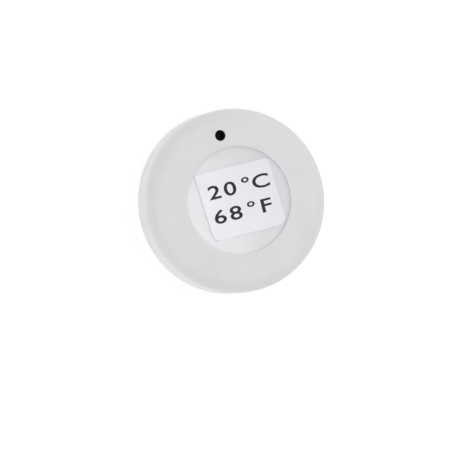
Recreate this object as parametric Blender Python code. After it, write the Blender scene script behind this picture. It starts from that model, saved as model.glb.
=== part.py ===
"""Round wireless temperature sensor with a flat back, a dished label recess and a sensing port.

The parts lie as they are assembled. A cup-shaped rear housing holds a coin cell in a stamped
spring clip. A round circuit board stands on four posts above the cell and carries the
electronics. The front cover laps into the cup, snaps in, and holds the board down.

The device lies on its back with its face up. The origin is the centre of the flat back and the
sensing port is towards +Y. Lengths are in metres.
"""

import math

import bmesh
import bpy
from mathutils import Matrix, Vector

MM = 0.001
FULL_TURN = 2.0 * math.pi

# Gaps between parts
FIT_GAP = 0.1 * MM
SEAT_GAP = 0.05 * MM
SOLDER_GAP = 0.03 * MM

# Housing walls and edges
BODY_DIAMETER = 33.0 * MM
SIDE_WALL = 1.4 * MM
BACK_WALL = 1.0 * MM
FACE_WALL = 1.1 * MM
FACE_EDGE_RADIUS = 2.3 * MM
BACK_EDGE_RADIUS = 0.4 * MM
FLOOR_FILLET = 0.5 * MM

# Seam between cover and cup
COVER_RIM_HEIGHT = 0.4 * MM
SEAM_CHAMFER = 0.12 * MM
LAP_HEIGHT = 1.5 * MM
TONGUE_WALL = 0.6 * MM
SNAP_BEAD = 0.15 * MM
SNAP_BEAD_DEPTH = 0.9 * MM

# Recess for the label
RECESS_DIAMETER = 19.0 * MM
RECESS_DEPTH = 0.5 * MM
RECESS_DISH = 0.25 * MM
RECESS_LIP_RADIUS = 0.3 * MM
RECESS_SIDE_WALL = 0.8 * MM

# Label
LABEL_CORNER_GAP = 0.18 * MM
LABEL_DIAGONAL_ANGLE = math.radians(41.3)
LABEL_THICKNESS = 0.14 * MM
LABEL_SHIFT = 0.42 * MM
LABEL_TURN = math.radians(-2.5)
# How far the left and the right side lean over for each unit of height
LABEL_LEANS = (0.06, 0.044)
# The radius of each corner, from the top left clockwise, and the number of cuts that make it
LABEL_CORNERS = ((0.5 * MM, 1), (0.8 * MM, 3), (1.8 * MM, 1), (1.15 * MM, 3))

# Sensing port and its seal
PORT_OUTWARD_SHIFT = 0.15 * MM
PORT_DIAMETER = 1.8 * MM
PORT_EDGE_CHAMFER = 0.12 * MM
PORT_COLLAR_WALL = 0.5 * MM
PORT_COLLAR_DEPTH = 0.35 * MM
SEAL_DIAMETER = 2.8 * MM
SEAL_BORE = 1.2 * MM

# Coin cell and its contacts
CELL_DIAMETER = 20.0 * MM
CELL_HEIGHT = 3.2 * MM
CELL_CAP_INSET = 1.05 * MM
CELL_CAP_STEP = 0.4 * MM
CELL_CRIMP_RADIUS = 0.5 * MM
CLIP_THICKNESS = 0.2 * MM
CLIP_WIDTH = 7.0 * MM
CLIP_BOW = 0.15 * MM
CLIP_SIDE_GAP = 0.3 * MM
CLIP_FOOT = 1.8 * MM
CLIP_WINDOW = (4.6 * MM, 2.4 * MM)
CONTACT_DIAMETER = 8.0 * MM
CONTACT_BORE = 2.4 * MM
CONTACT_THICKNESS = 0.1 * MM
CONTACT_CONE = 0.12 * MM

# Cell guides and board posts inside the housing
GUIDE_GAP = 0.25 * MM
GUIDE_WALL = 0.6 * MM
GUIDE_HEIGHT = 2.0 * MM
GUIDE_SPAN = math.radians(22.0)
GUIDE_ANGLES = (67.5, 112.5, 247.5, 292.5)
POST_DIAMETER = 2.0 * MM
POST_INSET = 1.3 * MM
POST_ANGLES = (45.0, 135.0, 225.0, 315.0)
GUSSET_WALL = 0.8 * MM
GUSSET_DROP = 0.8 * MM
PIN_DIAMETER = 0.9 * MM

# Circuit board
BOARD_GAP = 0.5 * MM
BOARD_THICKNESS = 0.8 * MM
SLOT_WIDTH = 0.7 * MM
SLOT_LENGTH = 3.0 * MM
SLOT_GAP = 0.9 * MM

# Electronics on the board
RADIO_CHIP = (6.0 * MM, 6.0 * MM, 0.75 * MM)
RADIO_CHIP_LANDS = 8
RADIO_CHIP_LAND_PITCH = 0.65 * MM
RADIO_CHIP_SHIFT = -1.6 * MM
SENSOR_CHIP = (2.5 * MM, 2.5 * MM, 0.9 * MM)
SENSOR_WINDOW = 1.0 * MM
SENSOR_WINDOW_DEPTH = 0.2 * MM
ANTENNA = (6.0 * MM, 2.0 * MM, 1.0 * MM)
ANTENNA_INSET = 1.0 * MM
RADIO_CRYSTAL = (2.0 * MM, 1.6 * MM, 0.5 * MM)
CLOCK_CRYSTAL = (3.2 * MM, 1.5 * MM, 0.7 * MM)
INDUCTOR = (1.6 * MM, 0.8 * MM, 0.65 * MM)
CHIP_PASSIVE = (1.0 * MM, 0.5 * MM, 0.5 * MM)
CHIP_RESISTOR_HEIGHT = 0.35 * MM
RESERVE_CAPACITOR = (3.2 * MM, 1.6 * MM, 1.0 * MM)
INDICATOR = (1.6 * MM, 0.8 * MM, 0.6 * MM)
PART_SPACING = 1.1 * MM
HEAD_CLEARANCE = 0.17 * MM
CHIP_CHAMFER = 0.1 * MM
CRYSTAL_CHAMFER = 0.15 * MM
END_CAP_STEP = 0.03 * MM

# Facets
TURNED_STEPS = 72
SMALL_TURNED_STEPS = 32
ARC_STEPS = 7

# Heights from the back, worked out from the stack of parts
BODY_RADIUS = BODY_DIAMETER / 2
INNER_RADIUS = BODY_RADIUS - SIDE_WALL
CELL_BOTTOM = BACK_WALL + FIT_GAP + CLIP_THICKNESS + CLIP_BOW + SEAT_GAP
CELL_TOP = CELL_BOTTOM + CELL_HEIGHT
BOARD_BOTTOM = CELL_TOP + SEAT_GAP + CONTACT_CONE + CONTACT_THICKNESS + SOLDER_GAP
BOARD_TOP = BOARD_BOTTOM + BOARD_THICKNESS
PART_BASE = BOARD_TOP + SOLDER_GAP
RECESS_UNDERSIDE = PART_BASE + RADIO_CHIP[2] + HEAD_CLEARANCE
BODY_HEIGHT = RECESS_UNDERSIDE + FACE_WALL + RECESS_DISH + RECESS_DEPTH
FACE_UNDERSIDE = BODY_HEIGHT - FACE_WALL
SEAM_HEIGHT = BODY_HEIGHT - FACE_EDGE_RADIUS - COVER_RIM_HEIGHT

# Places on the board
BOARD_RADIUS = INNER_RADIUS - BOARD_GAP
POST_CIRCLE = BOARD_RADIUS - POST_INSET
RECESS_RADIUS = RECESS_DIAMETER / 2
PORT_CIRCLE = (RECESS_RADIUS + BODY_RADIUS - FACE_EDGE_RADIUS) / 2 + PORT_OUTWARD_SHIFT
DISH_RADIUS = (RECESS_RADIUS**2 + RECESS_DISH**2) / (2 * RECESS_DISH)


def finish(name, colour, roughness, metallic=0.0):
    """Return a Principled material of one colour, roughness and metallic value."""
    material = bpy.data.materials.new(name)
    material.use_nodes = True
    shader = material.node_tree.nodes["Principled BSDF"]
    shader.inputs["Base Color"].default_value = (*colour, 1.0)
    shader.inputs["Roughness"].default_value = roughness
    shader.inputs["Metallic"].default_value = metallic
    material.diffuse_color = (*colour, 1.0)
    return material


def add_object(name, bm, material, place=(0.0, 0.0, 0.0), turn=0.0):
    """Turn a bmesh into an object. A part with a material gets smooth round faces and crisp edges."""
    bmesh.ops.recalc_face_normals(bm, faces=bm.faces)
    mesh = bpy.data.meshes.new(name)
    bm.to_mesh(mesh)
    bm.free()
    if material is not None:
        mesh.materials.append(material)
        mesh.shade_smooth()
        mesh.set_sharp_from_angle(angle=math.radians(35.0))
    item = bpy.data.objects.new(name, mesh)
    item.location = place
    item.rotation_euler = (0.0, 0.0, turn)
    bpy.context.collection.objects.link(item)
    return item


def as_tool(item):
    """Mark an object as a shape that only cuts or joins another one."""
    item.hide_render = True
    item.display_type = "WIRE"
    return item


def combine(target, tool, operation):
    """Cut a tool from a target, or join it to the target, with an exact Boolean."""
    modifier = target.modifiers.new(f"{operation.lower()} {tool.name}", "BOOLEAN")
    modifier.operation = operation
    modifier.solver = "EXACT"
    modifier.object = as_tool(tool)


def cut(target, tool):
    """Cut a tool from a target."""
    combine(target, tool, "DIFFERENCE")


def join(target, tool):
    """Join a tool to a target."""
    combine(target, tool, "UNION")


def arc(centre, radius, start, end, steps=ARC_STEPS):
    """Return the points of an arc in the radius and height plane, ends included."""
    turns = [start + (end - start) * i / steps for i in range(steps + 1)]
    return [
        (centre[0] + radius * math.cos(math.radians(t)), centre[1] + radius * math.sin(math.radians(t)))
        for t in turns
    ]


def spin_mesh(profile, closed, steps):
    """Spin a profile of radius and height points about the vertical axis."""
    bm = bmesh.new()
    points = [bm.verts.new((r, 0.0, z)) for r, z in profile]
    edges = [bm.edges.new(pair) for pair in zip(points, points[1:])]
    if closed:
        edges.append(bm.edges.new((points[-1], points[0])))
    bmesh.ops.spin(
        bm, geom=points + edges, cent=(0, 0, 0), axis=(0, 0, 1), angle=FULL_TURN, steps=steps, use_merge=False
    )
    bmesh.ops.remove_doubles(bm, verts=bm.verts, dist=1e-7)
    return bm


def turned(name, profile, material, steps=TURNED_STEPS, closed=False, place=(0.0, 0.0, 0.0)):
    """Make a turned part: an open profile starts and ends on the axis, a closed one is a ring."""
    return add_object(name, spin_mesh(profile, closed, steps), material, place)


def cylinder(name, radius, low, high, centre=(0.0, 0.0), material=None, steps=SMALL_TURNED_STEPS):
    """Make an upright cylinder between two heights."""
    profile = [(0.0, low), (radius, low), (radius, high), (0.0, high)]
    return turned(name, profile, material, steps, place=(*centre, 0.0))


def block(name, size, base, place, turn=0.0, material=None, chamfer=0.0):
    """Make a block on a base height, its middle at a place, with chamfered upright edges."""
    bm = bmesh.new()
    height = size[2]
    bmesh.ops.create_cube(bm, size=1.0)
    bmesh.ops.scale(bm, vec=size, verts=bm.verts)
    bmesh.ops.translate(bm, vec=(0.0, 0.0, height / 2), verts=bm.verts)
    if chamfer:
        upright = [e for e in bm.edges if abs(e.verts[0].co.z - e.verts[1].co.z) > height / 2]
        bmesh.ops.bevel(bm, geom=upright, offset=chamfer, segments=1, affect="EDGES")
    return add_object(name, bm, material, (*place, base), turn)


def extruded(name, outline, low, high, material=None):
    """Make an upright prism from a flat outline."""
    bm = bmesh.new()
    face = bm.faces.new([bm.verts.new((x, y, low)) for x, y in outline])
    moved = bmesh.ops.extrude_face_region(bm, geom=[face])["geom"]
    bmesh.ops.translate(
        bm, vec=(0.0, 0.0, high - low), verts=[v for v in moved if isinstance(v, bmesh.types.BMVert)]
    )
    return add_object(name, bm, material)


def on_circle(radius, degrees):
    """Return the point of a circle about the axis at an angle."""
    turn = math.radians(degrees)
    return radius * math.cos(turn), radius * math.sin(turn)


def dish_height(radius, floor):
    """Return the height of the dished floor at a radius, above its lowest point."""
    return floor + DISH_RADIUS - math.sqrt(DISH_RADIUS**2 - radius**2)


def dish_points(outer_radius, floor, steps=4):
    """Return profile points along the dish from the axis outwards."""
    radii = [outer_radius * i / steps for i in range(steps + 1)]
    return [(r, dish_height(r, floor)) for r in radii]


def snap_bead(radius, height, rise):
    """Return the three points of a snap bead or its groove, top point first."""
    return [(radius, height + 2 * rise), (radius + rise, height), (radius, height - 2 * rise)]


# Housing


def front_cover(plastic):
    """Make the moulded cover: rounded face, dished recess, port with collar, lap tongue and posts."""
    rim_low = SEAM_HEIGHT + FIT_GAP / 2
    tongue_radius = INNER_RADIUS + TONGUE_WALL
    tongue_low = SEAM_HEIGHT - LAP_HEIGHT + FIT_GAP
    lip_centre = (RECESS_RADIUS + RECESS_LIP_RADIUS, BODY_HEIGHT - RECESS_LIP_RADIUS)
    floor = BODY_HEIGHT - RECESS_DEPTH - RECESS_DISH
    boss_radius = RECESS_RADIUS + RECESS_SIDE_WALL
    inner_round = max(FACE_EDGE_RADIUS - FACE_WALL, FIT_GAP)
    edge_centre = (BODY_RADIUS - FACE_EDGE_RADIUS, BODY_HEIGHT - FACE_EDGE_RADIUS)
    inner_centre = (INNER_RADIUS - inner_round, FACE_UNDERSIDE - inner_round)
    profile = dish_points(RECESS_RADIUS, floor)
    profile += list(reversed(arc(lip_centre, RECESS_LIP_RADIUS, 90, 180, 4)))
    profile += list(reversed(arc(edge_centre, FACE_EDGE_RADIUS, 0, 90, 9)))
    profile += [(BODY_RADIUS, rim_low + SEAM_CHAMFER), (BODY_RADIUS - SEAM_CHAMFER, rim_low)]
    profile += [(tongue_radius, rim_low)]
    profile += snap_bead(tongue_radius, SEAM_HEIGHT - SNAP_BEAD_DEPTH, SNAP_BEAD)
    profile += [(tongue_radius, tongue_low), (INNER_RADIUS, tongue_low)]
    profile += arc(inner_centre, inner_round, 0, 90, 5)
    profile += [(boss_radius, FACE_UNDERSIDE)]
    profile += list(reversed(dish_points(boss_radius, RECESS_UNDERSIDE)))
    cover = turned("front_cover", profile, plastic)
    for degrees in POST_ANGLES:
        spot = on_circle(POST_CIRCLE, degrees)
        post = cylinder(
            f"hold_down_post_{degrees:.0f}",
            POST_DIAMETER / 2,
            BOARD_TOP + SEAT_GAP,
            FACE_UNDERSIDE + FACE_WALL / 3,
            spot,
        )
        join(cover, post)
    port = (0.0, PORT_CIRCLE)
    pocket_radius = SEAL_DIAMETER / 2 + FIT_GAP
    collar = cylinder(
        "port_collar",
        pocket_radius + PORT_COLLAR_WALL,
        FACE_UNDERSIDE - PORT_COLLAR_DEPTH,
        FACE_UNDERSIDE + FACE_WALL / 3,
        port,
    )
    join(cover, collar)
    hole = PORT_DIAMETER / 2
    port_profile = [
        (0.0, BOARD_TOP),
        (pocket_radius, BOARD_TOP),
        (pocket_radius, FACE_UNDERSIDE + SEAT_GAP),
        (hole, FACE_UNDERSIDE + SEAT_GAP),
        (hole, BODY_HEIGHT - PORT_EDGE_CHAMFER),
        (hole + PORT_EDGE_CHAMFER, BODY_HEIGHT),
        (hole + PORT_EDGE_CHAMFER, BODY_HEIGHT + FACE_WALL),
        (0.0, BODY_HEIGHT + FACE_WALL),
    ]
    cut(cover, turned("port_and_seal_pocket", port_profile, None, SMALL_TURNED_STEPS, place=(*port, 0.0)))
    return cover


def rear_housing(plastic):
    """Make the moulded cup: flat back, lap lip with snap groove, cell guides, posts and pins."""
    rim_high = SEAM_HEIGHT - FIT_GAP / 2
    lip_inner = INNER_RADIUS + TONGUE_WALL + FIT_GAP
    lap_low = SEAM_HEIGHT - LAP_HEIGHT
    back_centre = (BODY_RADIUS - BACK_EDGE_RADIUS, BACK_EDGE_RADIUS)
    fillet_centre = (INNER_RADIUS - FLOOR_FILLET, BACK_WALL + FLOOR_FILLET)
    profile = [(0.0, 0.0)]
    profile += arc(back_centre, BACK_EDGE_RADIUS, -90, 0, 4)
    profile += [(BODY_RADIUS, rim_high - SEAM_CHAMFER), (BODY_RADIUS - SEAM_CHAMFER, rim_high)]
    profile += [(lip_inner, rim_high)]
    profile += snap_bead(lip_inner, SEAM_HEIGHT - SNAP_BEAD_DEPTH, SNAP_BEAD)
    profile += [(lip_inner, lap_low), (INNER_RADIUS, lap_low)]
    profile += list(reversed(arc(fillet_centre, FLOOR_FILLET, -90, 0, 3)))
    profile += [(0.0, BACK_WALL)]
    cup = turned("rear_housing", profile, plastic)
    root = BACK_WALL / 2
    for degrees in POST_ANGLES:
        post_profile = [
            (0.0, root),
            (POST_DIAMETER / 2, root),
            (POST_DIAMETER / 2, BOARD_BOTTOM - SEAT_GAP),
            (PIN_DIAMETER / 2, BOARD_BOTTOM - SEAT_GAP),
            (PIN_DIAMETER / 2, BOARD_TOP - FIT_GAP),
            (0.0, BOARD_TOP - FIT_GAP),
        ]
        spot = on_circle(POST_CIRCLE, degrees)
        join(cup, turned(f"post_{degrees:.0f}", post_profile, None, SMALL_TURNED_STEPS, place=(*spot, 0.0)))
        length = INNER_RADIUS + SIDE_WALL / 3 - POST_CIRCLE
        gusset_size = (length, GUSSET_WALL, lap_low - GUSSET_DROP - root)
        middle = on_circle(POST_CIRCLE + length / 2, degrees)
        join(cup, block(f"gusset_{degrees:.0f}", gusset_size, root, middle, math.radians(degrees)))
    inner = CELL_DIAMETER / 2 + GUIDE_GAP
    guide_profile = [
        (inner, root),
        (inner + GUIDE_WALL, root),
        (inner + GUIDE_WALL, BACK_WALL + GUIDE_HEIGHT),
        (inner, BACK_WALL + GUIDE_HEIGHT),
    ]
    for degrees in GUIDE_ANGLES:
        join(cup, cell_guide(f"cell_guide_{degrees:.0f}", guide_profile, math.radians(degrees)))
    return cup


def cell_guide(name, profile, middle):
    """Make a curved rib that keeps the cell centred, as a sector of a ring."""
    bm = bmesh.new()
    face = bm.faces.new([bm.verts.new((r, 0.0, z)) for r, z in profile])
    bmesh.ops.rotate(bm, cent=(0, 0, 0), matrix=Matrix.Rotation(-GUIDE_SPAN / 2, 3, "Z"), verts=bm.verts)
    bmesh.ops.spin(
        bm, geom=[face], cent=(0, 0, 0), axis=(0, 0, 1), angle=GUIDE_SPAN, steps=ARC_STEPS, use_merge=False
    )
    return add_object(name, bm, None, turn=middle)


def label_point(across, up):
    """Return the place of a point of the label, given from -1 to 1 across and up."""
    lean = LABEL_LEANS[0] + (LABEL_LEANS[1] - LABEL_LEANS[0]) * (across + 1) / 2
    reach = RECESS_RADIUS - LABEL_CORNER_GAP
    y = up * reach * math.sin(LABEL_DIAGONAL_ANGLE)
    return Vector((across * reach * math.cos(LABEL_DIAGONAL_ANGLE) - lean * y, y, 0.0))


def label(paper):
    """Make the cut piece of label tape that follows the dished recess floor."""
    bm = bmesh.new()
    bmesh.ops.create_grid(bm, x_segments=8, y_segments=7, size=1.0)
    for v in bm.verts:
        v.co = label_point(v.co.x, v.co.y)
    for (side_x, side_y), (radius, cuts) in zip(((-1, 1), (1, 1), (1, -1), (-1, -1)), LABEL_CORNERS):
        centre = label_point(side_x, side_y) - Vector((side_x, side_y, 0.0)) * radius
        for number in range(1, cuts + 1):
            turn = FULL_TURN / 4 * number / (cuts + 1)
            away = Vector((side_x * math.cos(turn), side_y * math.sin(turn), 0.0))
            bmesh.ops.bisect_plane(
                bm,
                geom=bm.verts[:] + bm.edges[:] + bm.faces[:],
                plane_co=centre + away * radius,
                plane_no=away,
                clear_outer=True,
            )
    bmesh.ops.transform(bm, matrix=Matrix.Rotation(LABEL_TURN, 4, "Z"), verts=bm.verts)
    bmesh.ops.translate(bm, vec=(LABEL_SHIFT, 0.0, 0.0), verts=bm.verts)
    moved = bmesh.ops.extrude_face_region(bm, geom=bm.faces[:])["geom"]
    upper = {v for v in moved if isinstance(v, bmesh.types.BMVert)}
    floor = BODY_HEIGHT - RECESS_DEPTH - RECESS_DISH + SEAT_GAP
    for v in bm.verts:
        lift = LABEL_THICKNESS if v in upper else 0.0
        v.co.z = dish_height(math.hypot(v.co.x, v.co.y), floor) + lift
    return add_object("label", bm, paper)


def port_seal(rubber):
    """Make the rubber ring between the port and the sensor chip, with a spout that lines the port."""
    low = PART_BASE + SENSOR_CHIP[2] + SEAT_GAP
    spout_radius = PORT_DIAMETER / 2 - SEAT_GAP
    spout_high = BODY_HEIGHT - PORT_EDGE_CHAMFER - SEAT_GAP
    profile = [
        (SEAL_BORE / 2, low),
        (SEAL_DIAMETER / 2, low),
        (SEAL_DIAMETER / 2, FACE_UNDERSIDE),
        (spout_radius, FACE_UNDERSIDE),
        (spout_radius, spout_high),
        (SEAL_BORE / 2, spout_high),
    ]
    return turned("port_seal", profile, rubber, 24, closed=True, place=(0.0, PORT_CIRCLE, 0.0))


# Power


def coin_cell(steel):
    """Make the sealed cell: steel can below, crimped rim, seal groove and raised cap on top."""
    radius = CELL_DIAMETER / 2
    cap_radius = radius - CELL_CAP_INSET
    shoulder = CELL_TOP - CELL_CAP_STEP
    crimp = (radius - CELL_CRIMP_RADIUS, shoulder - CELL_CRIMP_RADIUS)
    base = (radius - CELL_CRIMP_RADIUS, CELL_BOTTOM + CELL_CRIMP_RADIUS)
    groove = CELL_CAP_STEP / 2
    cap_round = (cap_radius - 1.5 * groove, CELL_TOP - groove)
    profile = [(0.0, CELL_BOTTOM)]
    profile += arc(base, CELL_CRIMP_RADIUS, -90, 0, 4)
    profile += arc(crimp, CELL_CRIMP_RADIUS, 0, 90, 5)
    profile += [(cap_radius, shoulder), (cap_radius, shoulder - groove)]
    profile += [(cap_radius - groove / 2, shoulder - groove)]
    profile += arc(cap_round, groove, 0, 90, 3)
    profile += [(0.0, CELL_TOP)]
    return turned("coin_cell", profile, steel, 48)


def clip_centre_line():
    """Return the bends of the clip's strip, from foot to foot over the bowed leaf."""
    half = CLIP_THICKNESS / 2
    leg = CELL_DIAMETER / 2 + CLIP_SIDE_GAP + half
    foot_height = BOARD_BOTTOM - SOLDER_GAP - half
    leaf_height = BACK_WALL + FIT_GAP + half
    bow_end = CELL_DIAMETER / 3
    right = [(leg + CLIP_FOOT, foot_height), (leg, foot_height), (leg, leaf_height)]
    bow = [(bow_end * t, leaf_height + CLIP_BOW * (1 - t**2)) for t in (1.0, 0.5, 0.0, -0.5, -1.0)]
    left = [(-x, z) for x, z in reversed(right)]
    return [Vector(point) for point in right + bow + left]


def battery_clip(spring):
    """Make the stamped clip: a bowed leaf under the cell, two legs and two soldered feet."""
    half = CLIP_THICKNESS / 2
    line = clip_centre_line()
    sides = []
    for i, point in enumerate(line):
        before = (point - line[i - 1]).normalized() if i else (line[1] - point).normalized()
        after = (line[i + 1] - point).normalized() if i + 1 < len(line) else before
        along = (before + after).normalized()
        across = Vector((-along.y, along.x))
        reach = half / max(across.dot(Vector((-after.y, after.x))), 0.5)
        sides.append((point + across * reach, point - across * reach))
    bm = bmesh.new()
    rows = [[bm.verts.new((p.x, -CLIP_WIDTH / 2, p.y)) for p in pair] for pair in sides]
    faces = [bm.faces.new((a[0], a[1], b[1], b[0])) for a, b in zip(rows, rows[1:])]
    moved = bmesh.ops.extrude_face_region(bm, geom=faces)["geom"]
    bmesh.ops.translate(
        bm, vec=(0.0, CLIP_WIDTH, 0.0), verts=[v for v in moved if isinstance(v, bmesh.types.BMVert)]
    )
    clip = add_object("battery_clip", bm, spring)
    reach = CELL_DIAMETER / 4
    for side in (-1, 1):
        size = (CLIP_WINDOW[0], CLIP_WINDOW[1], CELL_BOTTOM + CLIP_THICKNESS)
        cut(clip, block(f"clip_window_{side}", size, 0.0, (side * reach, 0.0)))
    return clip


def negative_contact(gilt):
    """Make the dished contact washer between the board and the cell's cap."""
    outer, inner = CONTACT_DIAMETER / 2, CONTACT_BORE / 2
    high = BOARD_BOTTOM - SOLDER_GAP
    profile = [
        (inner, high - CONTACT_CONE - CONTACT_THICKNESS),
        (outer, high - CONTACT_THICKNESS),
        (outer, high),
        (inner, high - CONTACT_CONE),
    ]
    return turned("negative_contact", profile, gilt, SMALL_TURNED_STEPS, closed=True)


# Board and electronics


def circuit_board(laminate):
    """Make the round board with its pin holes and two slots that keep heat from the sensor chip."""
    board = cylinder("circuit_board", BOARD_RADIUS, BOARD_BOTTOM, BOARD_TOP, material=laminate, steps=64)
    low, high = BOARD_BOTTOM - BOARD_THICKNESS / 2, BOARD_TOP + BOARD_THICKNESS / 2
    for degrees in POST_ANGLES:
        spot = on_circle(POST_CIRCLE, degrees)
        cut(board, cylinder(f"pin_hole_{degrees:.0f}", PIN_DIAMETER / 2 + FIT_GAP, low, high, spot, steps=20))
    for side in (-1, 1):
        x = side * (SENSOR_CHIP[0] / 2 + SLOT_GAP)
        straight, radius = (SLOT_LENGTH - SLOT_WIDTH) / 2, SLOT_WIDTH / 2
        upper = arc((x, PORT_CIRCLE - SLOT_GAP + straight), radius, 0, 180, 6)
        lower = arc((x, PORT_CIRCLE - SLOT_GAP - straight), radius, 180, 360, 6)
        cut(board, extruded(f"thermal_slot_{side}", upper + lower, low, high))
    return board


def castellated_outline(size, lands, pitch):
    """Return a square outline whose sides have a small tooth for each land."""
    half, depth = size / 2, pitch / 4
    side = [(half - depth, -half + depth)]
    for i in range(lands):
        middle = (i - (lands - 1) / 2) * pitch
        low, high = middle - pitch / 4, middle + pitch / 4
        side += [(half - depth, low), (half, low), (half, high), (half - depth, high)]
    outline = []
    for quarter in range(4):
        turn = Matrix.Rotation(quarter * math.pi / 2, 2)
        outline += [tuple(turn @ Vector(point)) for point in side]
    return outline


def radio_chip(mould):
    """Make the radio and processor chip: a moulded body on a row of lands along each side."""
    length, width, height = RADIO_CHIP
    place = (0.0, RADIO_CHIP_SHIFT)
    body = block("radio_chip", (length, width, height), PART_BASE, place, material=mould, chamfer=CHIP_CHAMFER)
    outline = castellated_outline(length + FIT_GAP, RADIO_CHIP_LANDS, RADIO_CHIP_LAND_PITCH)
    lands = extruded("radio_chip_lands", outline, 0.0, height / 4)
    lands.location = (*place, PART_BASE)
    join(body, lands)
    mark = (place[0] - length / 3, place[1] + width / 3)
    top = PART_BASE + height
    cut(body, cylinder("radio_chip_mark", length / 16, top - height / 8, top + height, mark, steps=16))
    return body


def temperature_sensor(mould):
    """Make the sensor chip below the port, with the round window in its lid."""
    height = SENSOR_CHIP[2]
    place = (0.0, PORT_CIRCLE)
    chip = block("temperature_sensor", SENSOR_CHIP, PART_BASE, place, material=mould, chamfer=CHIP_CHAMFER)
    top = PART_BASE + height
    cut(chip, cylinder("sensor_window", SENSOR_WINDOW / 2, top - SENSOR_WINDOW_DEPTH, top + height, place))
    return chip


def stepped_bar(name, size, place, turn, material, end_length, step):
    """Make a chip part: a bar whose two metal ends stand a little proud of its middle."""
    length, width, height = size
    half = length / 2
    stations = [
        (-half, 0.0), (-half + end_length, 0.0), (-half + end_length, step),
        (half - end_length, step), (half - end_length, 0.0), (half, 0.0),
    ]
    bm = bmesh.new()
    rings = []
    for x, inset in stations:
        y, low, high = width / 2 - inset, inset, height - inset
        rings.append([bm.verts.new((x, *corner)) for corner in ((-y, low), (y, low), (y, high), (-y, high))])
    for a, b in zip(rings, rings[1:]):
        for i in range(4):
            bm.faces.new((a[i], a[(i + 1) % 4], b[(i + 1) % 4], b[i]))
    bm.faces.new(rings[0])
    bm.faces.new(rings[-1])
    return add_object(name, bm, material, (*place, PART_BASE), turn)


def crystal(name, size, place, turn, material):
    """Make a crystal: a ceramic base with a narrower metal lid."""
    length, width, height = size
    base_height, ledge = height * 0.4, width / 12
    item = block(name, (length, width, base_height), PART_BASE, place, turn, material, CRYSTAL_CHAMFER)
    lid_size = (length - 2 * ledge, width - 2 * ledge, height * 0.8)
    lid = block(f"{name}_lid", lid_size, PART_BASE + height * 0.2, place, turn, None, CRYSTAL_CHAMFER)
    join(item, lid)
    return item


def chip_side(side, slide, row):
    """Return a place and turn beside the radio chip: which side, how far along, and which row."""
    away = RADIO_CHIP[0] / 2 + FIT_GAP + PART_SPACING * row
    turn = side * math.pi / 2
    spot = Matrix.Rotation(turn, 2) @ Vector((away, slide))
    return (spot.x, spot.y + RADIO_CHIP_SHIFT), turn + math.pi / 2


def board_parts(finishes):
    """Make the crystals, capacitors, resistors, inductors, antenna, reserve capacitor and light."""
    length, width, height = CHIP_PASSIVE
    ends, step = length / 4, END_CAP_STEP
    right, top, left, bottom = range(4)
    capacitor_spots = (
        (right, -2.0 * MM, 1), (right, 2.0 * MM, 1), (top, -2.2 * MM, 1), (top, 2.2 * MM, 1),
        (left, -2.2 * MM, 1), (left, 2.2 * MM, 1), (bottom, -2.2 * MM, 1), (bottom, 0.0, 2),
    )
    for number, spot in enumerate(capacitor_spots, 1):
        place, turn = chip_side(*spot)
        stepped_bar(f"capacitor_{number}", CHIP_PASSIVE, place, turn, finishes["ceramic"], ends, step)
    resistor_size = (length, width, CHIP_RESISTOR_HEIGHT)
    for number, spot in enumerate(((bottom, 2.2 * MM, 1), (top, 0.0, 3), (top, 1.8 * MM, 3)), 1):
        place, turn = chip_side(*spot)
        stepped_bar(f"resistor_{number}", resistor_size, place, turn, finishes["film"], ends, step)
    for number, spot in enumerate(((top, -0.9 * MM, 2), (bottom, 0.0, 1), (bottom, 0.0, 3)), 1):
        size = INDUCTOR if number == 1 else CHIP_PASSIVE
        place, turn = chip_side(*spot)
        stepped_bar(f"inductor_{number}", size, place, turn, finishes["ferrite"], size[0] / 5, step)
    place, turn = chip_side(right, 0.0, 2)
    crystal("radio_crystal", RADIO_CRYSTAL, place, turn, finishes["can"])
    place, turn = chip_side(left, 0.0, 2)
    crystal("clock_crystal", CLOCK_CRYSTAL, place, turn, finishes["can"])
    antenna_y = -(BOARD_RADIUS - ANTENNA_INSET - ANTENNA[1] / 2)
    stepped_bar("chip_antenna", ANTENNA, (0.0, antenna_y), 0.0, finishes["antenna"], ANTENNA[0] / 10, step)
    stepped_bar(
        "reserve_capacitor", RESERVE_CAPACITOR, (-PORT_CIRCLE, 0.0), math.pi / 2, finishes["ceramic"],
        RESERVE_CAPACITOR[0] / 6, step,
    )
    stepped_bar(
        "status_light", INDICATOR, (PORT_CIRCLE, 0.0), math.pi / 2, finishes["lens"], INDICATOR[0] / 5, step
    )


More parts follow.
